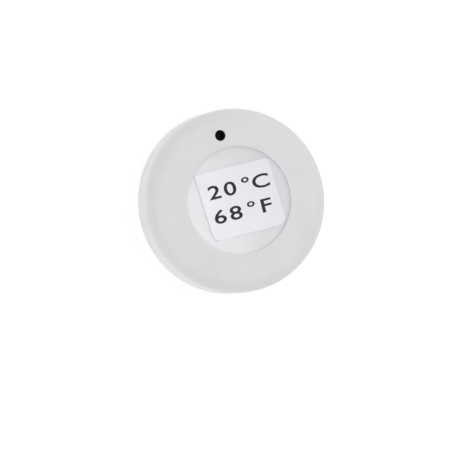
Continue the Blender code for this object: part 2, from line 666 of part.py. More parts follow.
def main():
    """Clear the scene and make every part."""
    for item in list(bpy.data.objects):
        bpy.data.objects.remove(item, do_unlink=True)
    plastic = finish("moulded light grey plastic", (0.68, 0.69, 0.70), 0.45)
    front_cover(plastic)
    rear_housing(finish("moulded light grey plastic of the cup", (0.70, 0.71, 0.72), 0.45))
    label(finish("white label tape", (0.80, 0.81, 0.85), 0.35))
    port_seal(finish("black rubber", (0.015, 0.015, 0.016), 0.8))
    coin_cell(finish("stainless steel", (0.62, 0.61, 0.60), 0.25, 1.0))
    battery_clip(finish("tinned spring steel", (0.66, 0.65, 0.62), 0.35, 1.0))
    negative_contact(finish("gilt spring bronze", (0.80, 0.60, 0.25), 0.3, 1.0))
    circuit_board(finish("green circuit laminate", (0.02, 0.14, 0.06), 0.4))
    radio_chip(finish("black chip mould", (0.02, 0.02, 0.022), 0.5))
    temperature_sensor(finish("black sensor mould", (0.015, 0.015, 0.017), 0.55))
    board_parts(
        {
            "ceramic": finish("tan capacitor ceramic", (0.36, 0.24, 0.14), 0.45),
            "film": finish("black resistor film", (0.03, 0.03, 0.035), 0.4),
            "ferrite": finish("grey ferrite", (0.10, 0.10, 0.11), 0.6),
            "can": finish("nickel crystal can", (0.66, 0.62, 0.55), 0.3, 1.0),
            "antenna": finish("white antenna ceramic", (0.72, 0.74, 0.72), 0.5),
            "lens": finish("clear light lens", (0.80, 0.78, 0.62), 0.2),
        }
    )


main()
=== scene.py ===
"""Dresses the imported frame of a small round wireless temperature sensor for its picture.

The frame brings the solids. This script puts finer mouldings and a finer label in the place of
three of them, prints a plain temperature on the label, solders the board, gives every piece its
finish and sets up the studio. The sensor lies on its back with its face up: the origin is the
centre of the flat back, and the sensing port is towards +Y. Lengths are in metres.
"""

import logging
import math
from collections.abc import Iterable, Mapping
from dataclasses import dataclass, field
from enum import Enum

import bmesh
import bpy
from mathutils import Matrix, Vector


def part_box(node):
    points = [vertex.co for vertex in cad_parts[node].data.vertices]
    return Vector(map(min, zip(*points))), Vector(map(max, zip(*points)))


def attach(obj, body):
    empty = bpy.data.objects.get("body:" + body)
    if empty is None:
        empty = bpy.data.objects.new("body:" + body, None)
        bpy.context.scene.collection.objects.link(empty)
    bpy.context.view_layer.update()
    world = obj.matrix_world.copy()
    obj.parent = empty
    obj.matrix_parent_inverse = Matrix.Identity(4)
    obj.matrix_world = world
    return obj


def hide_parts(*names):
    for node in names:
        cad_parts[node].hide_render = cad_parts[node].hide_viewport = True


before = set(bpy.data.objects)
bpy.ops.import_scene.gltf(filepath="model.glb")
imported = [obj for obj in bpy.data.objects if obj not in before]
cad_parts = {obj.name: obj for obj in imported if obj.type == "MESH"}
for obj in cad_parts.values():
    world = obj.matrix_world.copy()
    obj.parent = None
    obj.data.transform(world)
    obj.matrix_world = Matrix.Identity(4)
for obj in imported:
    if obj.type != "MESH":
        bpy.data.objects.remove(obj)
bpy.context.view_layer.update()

MM = 0.001
BODY = "root"
MERGE_DISTANCE = 1e-7
WHITE = (1.0, 1.0, 1.0, 1.0)

Item = bpy.types.Object
Mesh = bmesh.types.BMesh
Tree = bpy.types.NodeTree
Node = bpy.types.Node
Socket = bpy.types.NodeSocket
Inputs = Mapping[str | int, object]
Spot = tuple[float, float]
Profile = list[Spot]

log = logging.getLogger("temperature_sensor")


def linear(hex_colour: str) -> tuple[float, float, float, float]:
    """Turn an sRGB hex colour into linear light.

    Args:
        hex_colour: A colour such as "#D8D9DA".

    Returns:
        Red, green, blue and alpha, each from 0 to 1.
    """
    parts = [int(hex_colour[i : i + 2], 16) / 255.0 for i in (1, 3, 5)]
    red, green, blue = (c / 12.92 if c <= 0.04045 else ((c + 0.055) / 1.055) ** 2.4 for c in parts)
    return red, green, blue, 1.0


def connect(tree: Tree, node: Node, inputs: Inputs) -> None:
    """Give a node's inputs their values and links.

    Args:
        tree: The tree that holds the node.
        node: The node.
        inputs: Input name or number to a value, a socket, or a node, whose first output is used.
    """
    for key, value in inputs.items():
        if isinstance(value, Node):
            value = next(socket for socket in value.outputs if socket.enabled)
        if isinstance(value, Socket):
            tree.links.new(value, node.inputs[key])
        else:
            node.inputs[key].default_value = value


def add_node(tree: Tree, kind: str, inputs: Inputs | None = None, **settings: object) -> Node:
    """Add a node with its settings, values and links.

    Args:
        tree: The tree that gets the node.
        kind: The node's type name in Blender.
        inputs: What connect() takes.
        **settings: The node's own properties.

    Returns:
        The new node.
    """
    node = tree.nodes.new(kind)
    for name, value in settings.items():
        setattr(node, name, value)
    connect(tree, node, inputs or {})
    return node


# Meshes


def arc(centre: Spot, radius: float, start: float, end: float, steps: int) -> Profile:
    """Return the points of an arc in the radius and height plane.

    Args:
        centre: Radius and height of the arc's centre.
        radius: The arc's own radius.
        start: First angle in degrees, 0 being outwards and 90 upwards.
        end: Last angle in degrees.
        steps: How many pieces the arc has.

    Returns:
        The points, both ends included.
    """
    turns = [math.radians(start + (end - start) * i / steps) for i in range(steps + 1)]
    return [(centre[0] + radius * math.cos(t), centre[1] + radius * math.sin(t)) for t in turns]


def snap_bead(radius: float, height: float, rise: float) -> Profile:
    """Return a snap bead or its groove, top point first."""
    return [(radius, height + 2 * rise), (radius + rise, height), (radius, height - 2 * rise)]


def on_circle(radius: float, degrees: float) -> Spot:
    """Return the point of a circle about the upright axis."""
    return radius * math.cos(math.radians(degrees)), radius * math.sin(math.radians(degrees))


def add_object(name: str, data: bpy.types.ID) -> Item:
    """Make an object at the origin.

    Args:
        name: Its name.
        data: Its mesh, text, lamp or camera.

    Returns:
        The object, linked to the scene.
    """
    item = bpy.data.objects.new(name, data)
    bpy.context.scene.collection.objects.link(item)
    return item


def add_mesh(name: str, bm: Mesh, outward: bool = True) -> Item:
    """Turn a bmesh into an object at the origin.

    Args:
        name: The object's name.
        bm: The mesh, which is freed.
        outward: Whether the faces are turned outwards first.

    Returns:
        The object.
    """
    if outward:
        bmesh.ops.recalc_face_normals(bm, faces=bm.faces)
    mesh = bpy.data.meshes.new(name)
    bm.to_mesh(mesh)
    bm.free()
    return add_object(name, mesh)


def settle(item: Item) -> Item:
    """Turn an object with modifiers, or a text, into an object with a plain mesh.

    Args:
        item: The object, which is replaced.

    Returns:
        The object that has the result.
    """
    name = item.name
    graph = bpy.context.evaluated_depsgraph_get()
    mesh = bpy.data.meshes.new_from_object(item.evaluated_get(graph), depsgraph=graph)
    bpy.data.objects.remove(item)
    mesh.name = name
    return add_object(name, mesh)


def face_outwards(item: Item) -> Item:
    """Close a mesh's seams and turn its faces outwards.

    Args:
        item: The mesh's object.

    Returns:
        The same object.
    """
    bm = bmesh.new()
    bm.from_mesh(item.data)
    bmesh.ops.remove_doubles(bm, verts=bm.verts, dist=MERGE_DISTANCE)
    bmesh.ops.recalc_face_normals(bm, faces=bm.faces)
    bm.to_mesh(item.data)
    bm.free()
    return item


def soften(item: Item, sharp_angle: float = 35.0) -> Item:
    """Shade a mesh smooth up to an angle, with its wide flat faces kept flat.

    Args:
        item: The object.
        sharp_angle: The angle in degrees from which an edge stays crisp.

    Returns:
        The object that has the result.
    """
    item.data.shade_smooth()
    item.data.set_sharp_from_angle(angle=math.radians(sharp_angle))
    item.modifiers.new("flat faces stay flat", "WEIGHTED_NORMAL").keep_sharp = True
    return settle(item)


def combine(target: Item, tool: Item, operation: str) -> Item:
    """Join a tool to a target, or cut it away, and remove the tool.

    Args:
        target: The object that is changed.
        tool: The shape that joins or cuts.
        operation: "UNION" or "DIFFERENCE".

    Returns:
        The object that has the result.
    """
    modifier = target.modifiers.new(operation.lower(), "BOOLEAN")
    modifier.operation = operation
    modifier.solver = "EXACT"
    modifier.object = tool
    done = settle(target)
    bpy.data.objects.remove(tool)
    return done


def extrude(bm: Mesh, faces: list[bmesh.types.BMFace], way: tuple[float, float, float]) -> None:
    """Turn flat faces into a solid.

    Args:
        bm: The mesh.
        faces: The faces.
        way: How far they are drawn out.
    """
    moved = bmesh.ops.extrude_face_region(bm, geom=faces)["geom"]
    moved = [element for element in moved if isinstance(element, bmesh.types.BMVert)]
    bmesh.ops.translate(bm, vec=way, verts=moved)


def gathered(items: Iterable[Item]) -> Mesh:
    """Put the meshes of several objects into one and remove the objects.

    Args:
        items: Objects that stand apart from each other, with their places in their meshes.

    Returns:
        The one mesh.
    """
    bm = bmesh.new()
    for item in items:
        bm.from_mesh(item.data)
        bpy.data.objects.remove(item)
    return bm


# Geometry node trees


@dataclass
class ShapeTree:
    """A geometry node tree with named inputs, which ends in real faces with a finish.

    Attributes:
        name: The tree's name.
        inputs: Input name to socket type.
        tree: The tree itself.
        start: The node that holds the inputs.
    """

    name: str
    inputs: dict[str, str]
    tree: Tree = field(init=False)
    start: Node = field(init=False)

    def __post_init__(self) -> None:
        """Make the tree with its sockets."""
        self.tree = bpy.data.node_groups.new(self.name, "GeometryNodeTree")
        self.tree.is_modifier = True
        sockets = {"Geometry": "NodeSocketGeometry", **self.inputs, "Finish": "NodeSocketMaterial"}
        for name, kind in sockets.items():
            self.tree.interface.new_socket(name, in_out="INPUT", socket_type=kind)
        self.tree.interface.new_socket("Geometry", in_out="OUTPUT", socket_type="NodeSocketGeometry")
        self.start = add_node(self.tree, "NodeGroupInput")

    def take(self, name: str) -> Socket:
        """Return the socket that brings an input into the tree."""
        return self.start.outputs[name]

    def add(self, kind: str, inputs: Inputs | None = None, **settings: object) -> Node:
        """Add a node to the tree."""
        return add_node(self.tree, kind, inputs, **settings)

    def end(self, geometry: Node) -> None:
        """Make the tree's result real, give it its finish and hand it over.

        Args:
            geometry: The node that gives the result.
        """
        real = self.add("GeometryNodeRealizeInstances", {"Geometry": geometry})
        done = self.add("GeometryNodeSetMaterial", {"Geometry": real, "Material": self.take("Finish")})
        self.add("NodeGroupOutput", {0: done})

    def run(self, item: Item, values: Mapping[str, object]) -> Item:
        """Run the tree on an object.

        Args:
            item: The object that brings the tree's geometry.
            values: Input name to value.

        Returns:
            An object with the plain mesh, its faces outwards.
        """
        modifier = item.modifiers.new(self.name, "NODES")
        modifier.node_group = self.tree
        for socket in self.tree.interface.items_tree:
            if socket.in_out == "INPUT" and socket.name in values:
                modifier[socket.identifier] = values[socket.name]
        return face_outwards(settle(item))


class TurningTree(ShapeTree):
    """Turns a profile of radius and height points about the upright axis."""

    def __init__(self) -> None:
        """Sweep the profile along a circle, and close the seam and the poles."""
        super().__init__("turned shape", {"Steps": "NodeSocketInt", "Path Radius": "NodeSocketFloat"})
        steps, radius = self.take("Steps"), self.take("Path Radius")
        back = self.add("ShaderNodeMath", {0: radius, 1: -1.0}, operation="MULTIPLY")
        shift = self.add("ShaderNodeCombineXYZ", {"X": back})
        outline = self.add("GeometryNodeMeshToCurve", {"Mesh": self.take("Geometry")})
        # The circle's own frame has its second axis downwards, so the profile is turned over.
        over = {"Geometry": outline, "Translation": shift, "Scale": (1.0, -1.0, 1.0)}
        section = self.add("GeometryNodeTransform", over)
        path = self.add("GeometryNodeCurvePrimitiveCircle", {"Resolution": steps, "Radius": radius})
        shell = self.add("GeometryNodeCurveToMesh", {"Curve": path, "Profile Curve": section})
        self.end(self.add("GeometryNodeMergeByDistance", {"Geometry": shell, "Distance": MERGE_DISTANCE}))

    def turn(self, name: str, profile: Profile, steps: int, place: Spot = (0.0, 0.0)) -> Item:
        """Make a turned shape.

        Args:
            name: The object's name.
            profile: Radius and height points, from the axis and back to it.
            steps: How many pieces the turn has.
            place: Where the axis stands.

        Returns:
            The object, closed and with its place in its mesh.
        """
        mesh = bpy.data.meshes.new(name)
        edges = [(i, i + 1) for i in range(len(profile) - 1)]
        mesh.from_pydata([(radius, height, 0.0) for radius, height in profile], edges, [])
        values = {"Steps": steps, "Path Radius": max(radius for radius, _ in profile)}
        done = self.run(add_object(name, mesh), values)
        done.data.transform(Matrix.Translation((*place, 0.0)))
        return done


class CopiesTree(ShapeTree):
    """Puts a copy of one shape on each point, with the point's own turn and size."""

    def __init__(self) -> None:
        """Place the copies by the points' named attributes."""
        super().__init__("copies on points", {"Shape": "NodeSocketObject"})
        shape = self.add("GeometryNodeObjectInfo", {"Object": self.take("Shape")})
        turn = self.add("GeometryNodeInputNamedAttribute", {"Name": "turn"}, data_type="FLOAT")
        size = self.add("GeometryNodeInputNamedAttribute", {"Name": "size"}, data_type="FLOAT_VECTOR")
        upright = self.add("ShaderNodeCombineXYZ", {"Z": turn})
        rotation = self.add("FunctionNodeEulerToRotation", {"Euler": upright})
        spread = {"Points": self.take("Geometry"), "Instance": shape.outputs["Geometry"]}
        self.end(self.add("GeometryNodeInstanceOnPoints", spread | {"Rotation": rotation, "Scale": size}))


class RingOfEyelets(ShapeTree):
    """Sets small flat eyelets round a circle, and leaves out those beyond a line."""

    def __init__(self) -> None:
        """Sweep one eyelet's section round its hole, and copy it along the circle."""
        sizes = ("Circle Radius", "Eyelet Radius", "Eyelet Width", "Eyelet Height", "Clear Below")
        kinds = {"Count": "NodeSocketInt", **dict.fromkeys(sizes, "NodeSocketFloat")}
        super().__init__("ring of eyelets", kinds)
        circle, radius, width, height, clear = (self.take(name) for name in sizes)
        points = self.add("GeometryNodeMeshCircle", {"Vertices": self.take("Count"), "Radius": circle})
        section = self.add("GeometryNodeCurvePrimitiveQuadrilateral", {"Width": width, "Height": height})
        hole = self.add("GeometryNodeCurvePrimitiveCircle", {"Resolution": 14, "Radius": radius})
        eyelet = self.add("GeometryNodeCurveToMesh", {"Curve": hole, "Profile Curve": section})
        spot = self.add("ShaderNodeSeparateXYZ", {"Vector": self.add("GeometryNodeInputPosition")})
        sides = {"A": spot.outputs["Y"], "B": clear}
        kept = self.add("FunctionNodeCompare", sides, operation="GREATER_THAN")
        copies = {"Points": points, "Selection": kept, "Instance": eyelet}
        self.end(self.add("GeometryNodeInstanceOnPoints", copies))


# Finishes


@dataclass
class Surface:
    """A material while its pattern is drawn.

    Attributes:
        tree: The material's node tree.
        shader: Its principled shader.
        place: The object coordinates, in metres.
    """

    tree: Tree
    shader: Node
    place: Socket

    def add(self, kind: str, inputs: Inputs | None = None, **settings: object) -> Node:
        """Add a shader node, given by its type name without ShaderNode, to the material."""
        return add_node(self.tree, "ShaderNode" + kind, inputs, **settings)

    def look(self, inputs: Inputs) -> None:
        """Give the shader's inputs their values and links."""
        connect(self.tree, self.shader, inputs)

    def height(self) -> Socket:
        """Return how high each point is."""
        return self.add("SeparateXYZ", {0: self.place}).outputs["Z"]

    def radius(self) -> Socket:
        """Return how far each point is from the upright axis."""
        flat = self.add("VectorMath", {0: self.place, 1: (1.0, 1.0, 0.0)}, operation="MULTIPLY")
        return self.add("VectorMath", {0: flat}, operation="LENGTH").outputs["Value"]

    def drift(self, size: float, detail: float, span: Inputs) -> Node:
        """Return noise in patches of a size, stretched from a span of it to the values at its ends."""
        noise = self.add("TexNoise", {"Vector": self.place, "Scale": 1.0 / size, "Detail": detail})
        return self.add("MapRange", {"Value": noise} | span)

    def away_from(self, middle: Spot) -> Node:
        """Return how far each point is from an upright line, as a node with one output for each axis.

        Args:
            middle: Where the line stands.

        Returns:
            The node.
        """
        place = {"Vector": self.place, "Location": (-middle[0], -middle[1], 0.0)}
        centred = self.add("Mapping", place)
        away = self.add("VectorMath", {0: centred}, operation="ABSOLUTE")
        return self.add("SeparateXYZ", {0: away})


# Noise stays near 0.5, so its usual span is stretched to a whole drift in tone or gloss.
TONE_SPAN = {"From Min": 0.35, "From Max": 0.65}
GLOSS_SPAN = {"From Min": 0.3, "From Max": 0.7}


@dataclass(frozen=True)
class Finish:
    """A surface finish: one principled shader and the pattern that the real surface has.

    Attributes:
        name: The material's name.
        colour: Its colour as an sRGB hex value.
        roughness: Its roughness.
        ior: Its index of refraction. A metal keeps the shader's own.
        metallic: 1 for a metal.
        gloss: The share of its gloss that a powdery skin lets through, where 0.5 is all of it.
        shade: The colour that its tone drifts to.
        tone_size: How large the patches of tone are.
        gloss_size: How large the patches of more and less gloss are.
        gloss_spread: How far the roughness goes up and down over them.
        grain_size: The size of its fine bumps.
        grain_depth: How deep they are.
    """

    name: str
    colour: str
    roughness: float
    ior: float = 1.5
    metallic: float = 0.0
    gloss: float = 0.5
    shade: str = "#808080"
    tone_size: float = 1.0 * MM
    gloss_size: float = 3.0 * MM
    gloss_spread: float = 0.03
    grain_size: float = 0.1 * MM
    grain_depth: float = 0.003 * MM

    def material(self) -> bpy.types.Material:
        """Make the material.

        Returns:
            The material, with its pattern drawn.
        """
        material = bpy.data.materials.new(self.name)
        material.use_nodes = True
        tree = material.node_tree
        place = add_node(tree, "ShaderNodeTexCoord").outputs["Object"]
        on = Surface(tree, tree.nodes["Principled BSDF"], place)
        on.look({"Base Color": linear(self.colour), "Roughness": self.roughness, "Metallic": self.metallic})
        on.look({"IOR": self.ior, "Specular IOR Level": self.gloss})
        self.draw(on)
        return material

    def draw(self, on: Surface) -> None:
        """Draw the pattern, which is a drift in tone and a fine grain where nothing else is said."""
        on.look({"Base Color": self.tone(on), "Normal": self.grain(on)})

    def shades(self, share: Node) -> Inputs:
        """Return what mixes the finish's own colour and its other shade."""
        return {0: share, 6: linear(self.colour), 7: linear(self.shade)}

    def tone(self, on: Surface) -> Socket:
        """Return a colour that drifts between the finish's own and its other shade."""
        share = on.drift(self.tone_size, 2.0, TONE_SPAN)
        return on.add("Mix", self.shades(share), data_type="RGBA").outputs[2]

    def uneven(self, on: Surface) -> Node:
        """Return a roughness that goes up and down over the patches of gloss."""
        ends = {"To Min": self.roughness - self.gloss_spread, "To Max": self.roughness + self.gloss_spread}
        return on.drift(self.gloss_size, 3.0, GLOSS_SPAN | ends)

    def grain(self, on: Surface, place: Node | Socket | None = None) -> Node:
        """Raise fine bumps.

        Args:
            on: The surface.
            place: The coordinates, where they are stretched to draw the bumps out into lines.

        Returns:
            The node that gives the normal.
        """
        dots = {"Vector": place or on.place, "Scale": 1.0 / self.grain_size, "Detail": 2.0}
        bumps = on.add("TexNoise", dots)
        return on.add("Bump", {"Height": bumps, "Distance": self.grain_depth})


@dataclass(frozen=True)
class MouldedPlastic(Finish):
    """Light grey ABS from a finely spark-eroded tool: satin, with an even grain and a soft gloss.

    The grain is drawn coarse enough to show.

    Attributes:
        polished_radius: How far from the axis the label recess reaches, where the tool is polished.
        polished_roughness: The roughness there.
    """

    shade: str = "#D5D6D8"
    tone_size: float = 6.0 * MM
    grain_size: float = 0.22 * MM
    grain_depth: float = 0.002 * MM
    polished_radius: float = 0.0
    polished_roughness: float = 0.17

    def draw(self, on: Surface) -> None:
        """Draw the drift in tone, the uneven gloss, the grain and the polished recess.

        Args:
            on: The surface.
        """
        super().draw(on)
        limit = {0: on.radius(), 1: self.polished_radius}
        polished = on.add("Math", limit, operation="LESS_THAN")
        gloss = {0: polished, 2: self.uneven(on), 3: self.polished_roughness}
        on.look({"Roughness": on.add("Mix", gloss)})


@dataclass(frozen=True)
class LabelFilm(Finish):
    """White laminated polyester tape: brighter and smoother than the plastic, with its edge faces a little
    darker.

    The roll leaves faint waves across it, which are the grain here.

    Attributes:
        edge_colour: The colour of the edge faces, a little darker than the film, which darkens the line
            round it.
        flat_share: How far upwards a face of the film itself points.
        wave_stretch: The waves' frequency along the tape as a share of that across it.
    """

    shade: str = "#E1E2E7"
    tone_size: float = 2.5 * MM
    gloss_size: float = 2.5 * MM
    grain_size: float = 2.5 * MM
    grain_depth: float = 0.001 * MM
    edge_colour: str = "#DCDDE1"
    flat_share: float = 0.6
    wave_stretch: float = 0.15

    def draw(self, on: Surface) -> None:
        """Draw the cut edge, the waves and the uneven gloss.

        Args:
            on: The surface.
        """
        facing = on.add("SeparateXYZ", {0: on.add("NewGeometry").outputs["Normal"]})
        upwards = {0: facing.outputs["Z"], 1: self.flat_share}
        edge = on.add("Math", upwards, operation="LESS_THAN")
        colours = {0: edge, 6: self.tone(on), 7: linear(self.edge_colour)}
        base = on.add("Mix", colours, data_type="RGBA")
        waves = on.add("Mapping", {"Vector": on.place, "Scale": (1.0, self.wave_stretch, 1.0)})
        on.look({"Base Color": base.outputs[2], "Roughness": self.uneven(on)})
        on.look({"Normal": self.grain(on, waves)})


@dataclass(frozen=True)
class TransferInk(Finish):
    """Dark grey thermal transfer ink: dense, and a little uneven at the pitch of the head's dots."""

    gloss: float = 0.35
    shade: str = "#1E1F23"
    tone_size: float = 0.14 * MM

    def draw(self, on: Surface) -> None:
        """Draw the dots' uneven tone."""
        on.look({"Base Color": self.tone(on)})


@dataclass(frozen=True)
class Rubber(Finish):
    """Black silicone rubber, matt with a soft powdery skin, its deep black partly painted shade in the
    port.
    """

    gloss: float = 0.05
    shade: str = "#0D0D0E"
    tone_size: float = 0.5 * MM
    grain_size: float = 0.08 * MM
    grain_depth: float = 0.004 * MM


class Lay(Enum):
    """Which way the fine lines of a metal surface run."""

    ALONG_X = "along the strip"
    ROUND = "round the axis"
    NONE = "no lines"


@dataclass(frozen=True)
class Metal(Finish):
    """Rolled, pressed or plated metal: bright, with the fine lines that its making left.

    Attributes:
        lay: Which way the lines run. Without lines, the bumps are a fine plated grain.
        line_stretch: The lines' frequency along them as a share of that across them.
    """

    metallic: float = 1.0
    gloss_size: float = 1.5 * MM
    gloss_spread: float = 0.05
    grain_size: float = 0.06 * MM
    grain_depth: float = 0.0012 * MM
    lay: Lay = Lay.NONE
    line_stretch: float = 0.02

    def draw(self, on: Surface) -> None:
        """Draw the lines and the uneven gloss.

        Args:
            on: The surface.
        """
        where = None
        if self.lay is Lay.ALONG_X:
            along = {"Vector": on.place, "Scale": (self.line_stretch, 1.0, 1.0)}
            where = on.add("Mapping", along)
        elif self.lay is Lay.ROUND:
            where = on.add("CombineXYZ", {"X": on.radius()})
        on.look({"Roughness": self.uneven(on), "Normal": self.grain(on, where)})


# Matt white metal with soft highlights, on the lands and the ends of the small parts.
TIN = Metal("tinned land", "#CFCDC8", 0.3)
# The same white metal, but frozen from the melt, so its highlights are sharper.
SOLDER = Metal("bright lead-free solder", "#C6C5C1", 0.2)
# A thin warm yellow plate with clear highlights.
GILT = Metal("gold flash over nickel", "#E0BE78", 0.25)
# A slightly warm grey metal, smooth from the press.
NICKEL = Metal("drawn nickel lid", "#CFC9BC", 0.25)


@dataclass(frozen=True)
class PartlyMetal(Finish):
    """A body with a fine grain that has metal on a part of it.

    Attributes:
        metal: The metal.
    """

    metal: Finish = TIN

    def mask(self, on: Surface) -> Node:
        """Return a node that gives 1 where the metal is."""
        raise NotImplementedError

    def draw(self, on: Surface) -> None:
        """Draw the drift in tone, the grain and the metal.

        Args:
            on: The surface.
        """
        mask = self.mask(on)
        colours = {0: mask, 6: self.tone(on), 7: linear(self.metal.colour)}
        base = on.add("Mix", colours, data_type="RGBA")
        rough = on.add("Mix", {0: mask, 2: self.roughness, 3: self.metal.roughness})
        on.look({"Base Color": base.outputs[2], "Roughness": rough, "Metallic": mask})
        on.look({"Normal": self.grain(on)})


@dataclass(frozen=True)
class BoardLaminate(Finish):
    """Glass epoxy laminate under satin green solder mask: tracks show lighter below it, the edge is bare.

    Attributes:
        low: The height of the board's underside.
        high: The height of its top.
        track_pitch: From one track to the next.
        track_start: How far up the wave across the tracks a track starts.
        region: The size of the patches in which the tracks run one way.
        bare_share: The share of the patches that have no tracks.
        copper_height: How far the copper lifts the mask.
        mask_height: How thick the mask's rim is above the bare edge.
        track_colour: The mask's colour over copper.
        edge_colour: The colour of the cut laminate.
    """

    low: float = 0.0
    high: float = 0.0
    track_pitch: float = 0.45 * MM
    track_start: float = 0.55
    region: float = 3.2 * MM
    bare_share: float = 0.35
    copper_height: float = 0.03 * MM
    mask_height: float = 0.04 * MM
    track_colour: str = "#2F7A4B"
    edge_colour: str = "#A8986A"

    def draw(self, on: Surface) -> None:
        """Draw the tracks, the bare edge and the mask's gloss.

        Args:
            on: The surface.
        """
        cells = {"Vector": on.place, "Scale": 1.0 / self.region}
        patches = on.add("TexVoronoi", cells, distance="CHEBYCHEV")
        pick = on.add("SeparateColor", {0: patches.outputs["Color"]})
        # A wave texture has 20 / (2 pi) bands to the unit at scale 1.
        wave = {"Vector": on.place, "Scale": math.pi / (10.0 * self.track_pitch), "Distortion": 0.0}
        along_x, along_y = (
            on.add("TexWave", wave, bands_direction=way).outputs["Fac"] for way in ("X", "Y")
        )
        across = on.add("Math", {0: pick.outputs[0], 1: 0.5}, operation="GREATER_THAN")
        runs = on.add("Mix", {0: across, 2: along_x, 3: along_y})
        bare = {0: pick.outputs[1], 1: self.bare_share}
        there = on.add("Math", bare, operation="GREATER_THAN")
        track = on.add("Math", {0: runs, 1: self.track_start}, operation="GREATER_THAN")
        copper = on.add("Math", {0: track, 1: there}, operation="MULTIPLY")
        greens = {0: copper, 6: linear(self.colour), 7: linear(self.track_colour)}
        mask = on.add("Mix", greens, data_type="RGBA")
        middle, half = (self.low + self.high) / 2, (self.high - self.low) / 2
        away = on.add("Math", {0: on.height(), 1: middle}, operation="SUBTRACT")
        depth = on.add("Math", {0: away}, operation="ABSOLUTE")
        edge = on.add("Math", {0: depth, 1: half - self.mask_height}, operation="LESS_THAN")
        colours = {0: edge, 6: mask.outputs[2], 7: linear(self.edge_colour)}
        base = on.add("Mix", colours, data_type="RGBA")
        bump = on.add("Bump", {"Height": copper, "Distance": self.copper_height})
        on.look({"Base Color": base.outputs[2], "Normal": bump})


@dataclass(frozen=True)
class ChipMould(PartlyMetal):
    """Black epoxy mould compound, matt with a fine filler grain, on tinned lands.

    Attributes:
        middle: Where the chip stands.
        size: The length of its square body.
        lands_start: How far outside the body the lands start.
    """

    shade: str = "#202022"
    tone_size: float = 0.12 * MM
    middle: Spot = (0.0, 0.0)
    size: float = 0.0
    lands_start: float = 0.01 * MM

    def mask(self, on: Surface) -> Node:
        """Find the lands round the body.

        Args:
            on: The surface.

        Returns:
            A node that gives 1 on them.
        """
        away = on.away_from(self.middle).outputs
        most = on.add("Math", {0: away["X"], 1: away["Y"]}, operation="MAXIMUM")
        limit = {0: most, 1: self.size / 2 + self.lands_start}
        return on.add("Math", limit, operation="GREATER_THAN")


@dataclass(frozen=True)
class ChipBody(PartlyMetal):
    """A fired ceramic or ferrite body, dull and a little mottled, between two bright tinned ends.

    Attributes:
        middle: Where the part stands.
        along_x: Whether its length runs along X.
        half_body: Half the length of the bare body between the ends.
        stripes: The pitch of printed metal lines across the body, or 0.
        stripe_gap: The share of the pitch that the lines leave bare.
    """

    tone_size: float = 0.25 * MM
    grain_size: float = 0.12 * MM
    middle: Spot = (0.0, 0.0)
    along_x: bool = True
    half_body: float = 0.0
    stripes: float = 0.0
    stripe_gap: float = 0.6

    def mask(self, on: Surface) -> Node:
        """Find the tinned ends and the lines.

        Args:
            on: The surface.

        Returns:
            A node that gives 1 on them.
        """
        along = on.away_from(self.middle).outputs["X" if self.along_x else "Y"]
        mask = on.add("Math", {0: along, 1: self.half_body}, operation="GREATER_THAN")
        if self.stripes:
            lines = on.add("Math", {0: along, 1: self.stripes}, operation="MODULO")
            limit = {0: lines, 1: self.stripes * self.stripe_gap}
            line = on.add("Math", limit, operation="GREATER_THAN")
            mask = on.add("Math", {0: mask, 1: line}, operation="MAXIMUM")
        return mask


@dataclass(frozen=True)
class CrystalCan(PartlyMetal):
    """A dull dark fired ceramic base with a bright nickel lid seamed onto it.

    Attributes:
        lid_height: The height from which the lid shows.
    """

    shade: str = "#5A5148"
    tone_size: float = 0.3 * MM
    grain_size: float = 0.15 * MM
    grain_depth: float = 0.001 * MM
    metal: Finish = NICKEL
    lid_height: float = 0.0

    def mask(self, on: Surface) -> Node:
        """Return a node that gives 1 on the lid."""
        limit = {0: on.height(), 1: self.lid_height}
        return on.add("Math", limit, operation="GREATER_THAN")


# Pieces


def take_place(piece: Item, finish: Finish, node: str = "") -> Item:
    """Give a new piece its finish and its place on the body.

    Args:
        piece: The piece.
        finish: Its finish.
        node: The CAD node that it stands for, where there is one.

    Returns:
        The piece.
    """
    piece.data.materials.clear()
    piece.data.materials.append(finish.material())
    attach(piece, BODY)
    if node:
        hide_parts(node)
    return piece


def dress(node: str, finish: Finish) -> Item:
    """Give a CAD node that stays a better finish.

    Args:
        node: The node's name.
        finish: Its finish.

    Returns:
        The node's object.
    """
    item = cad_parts[node]
    material = finish.material()
    for slot in item.material_slots:
        slot.material = material
    return item


def middle_of(node: str) -> Spot:
    """Return where a CAD node stands."""
    low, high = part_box(node)
    return (low.x + high.x) / 2, (low.y + high.y) / 2


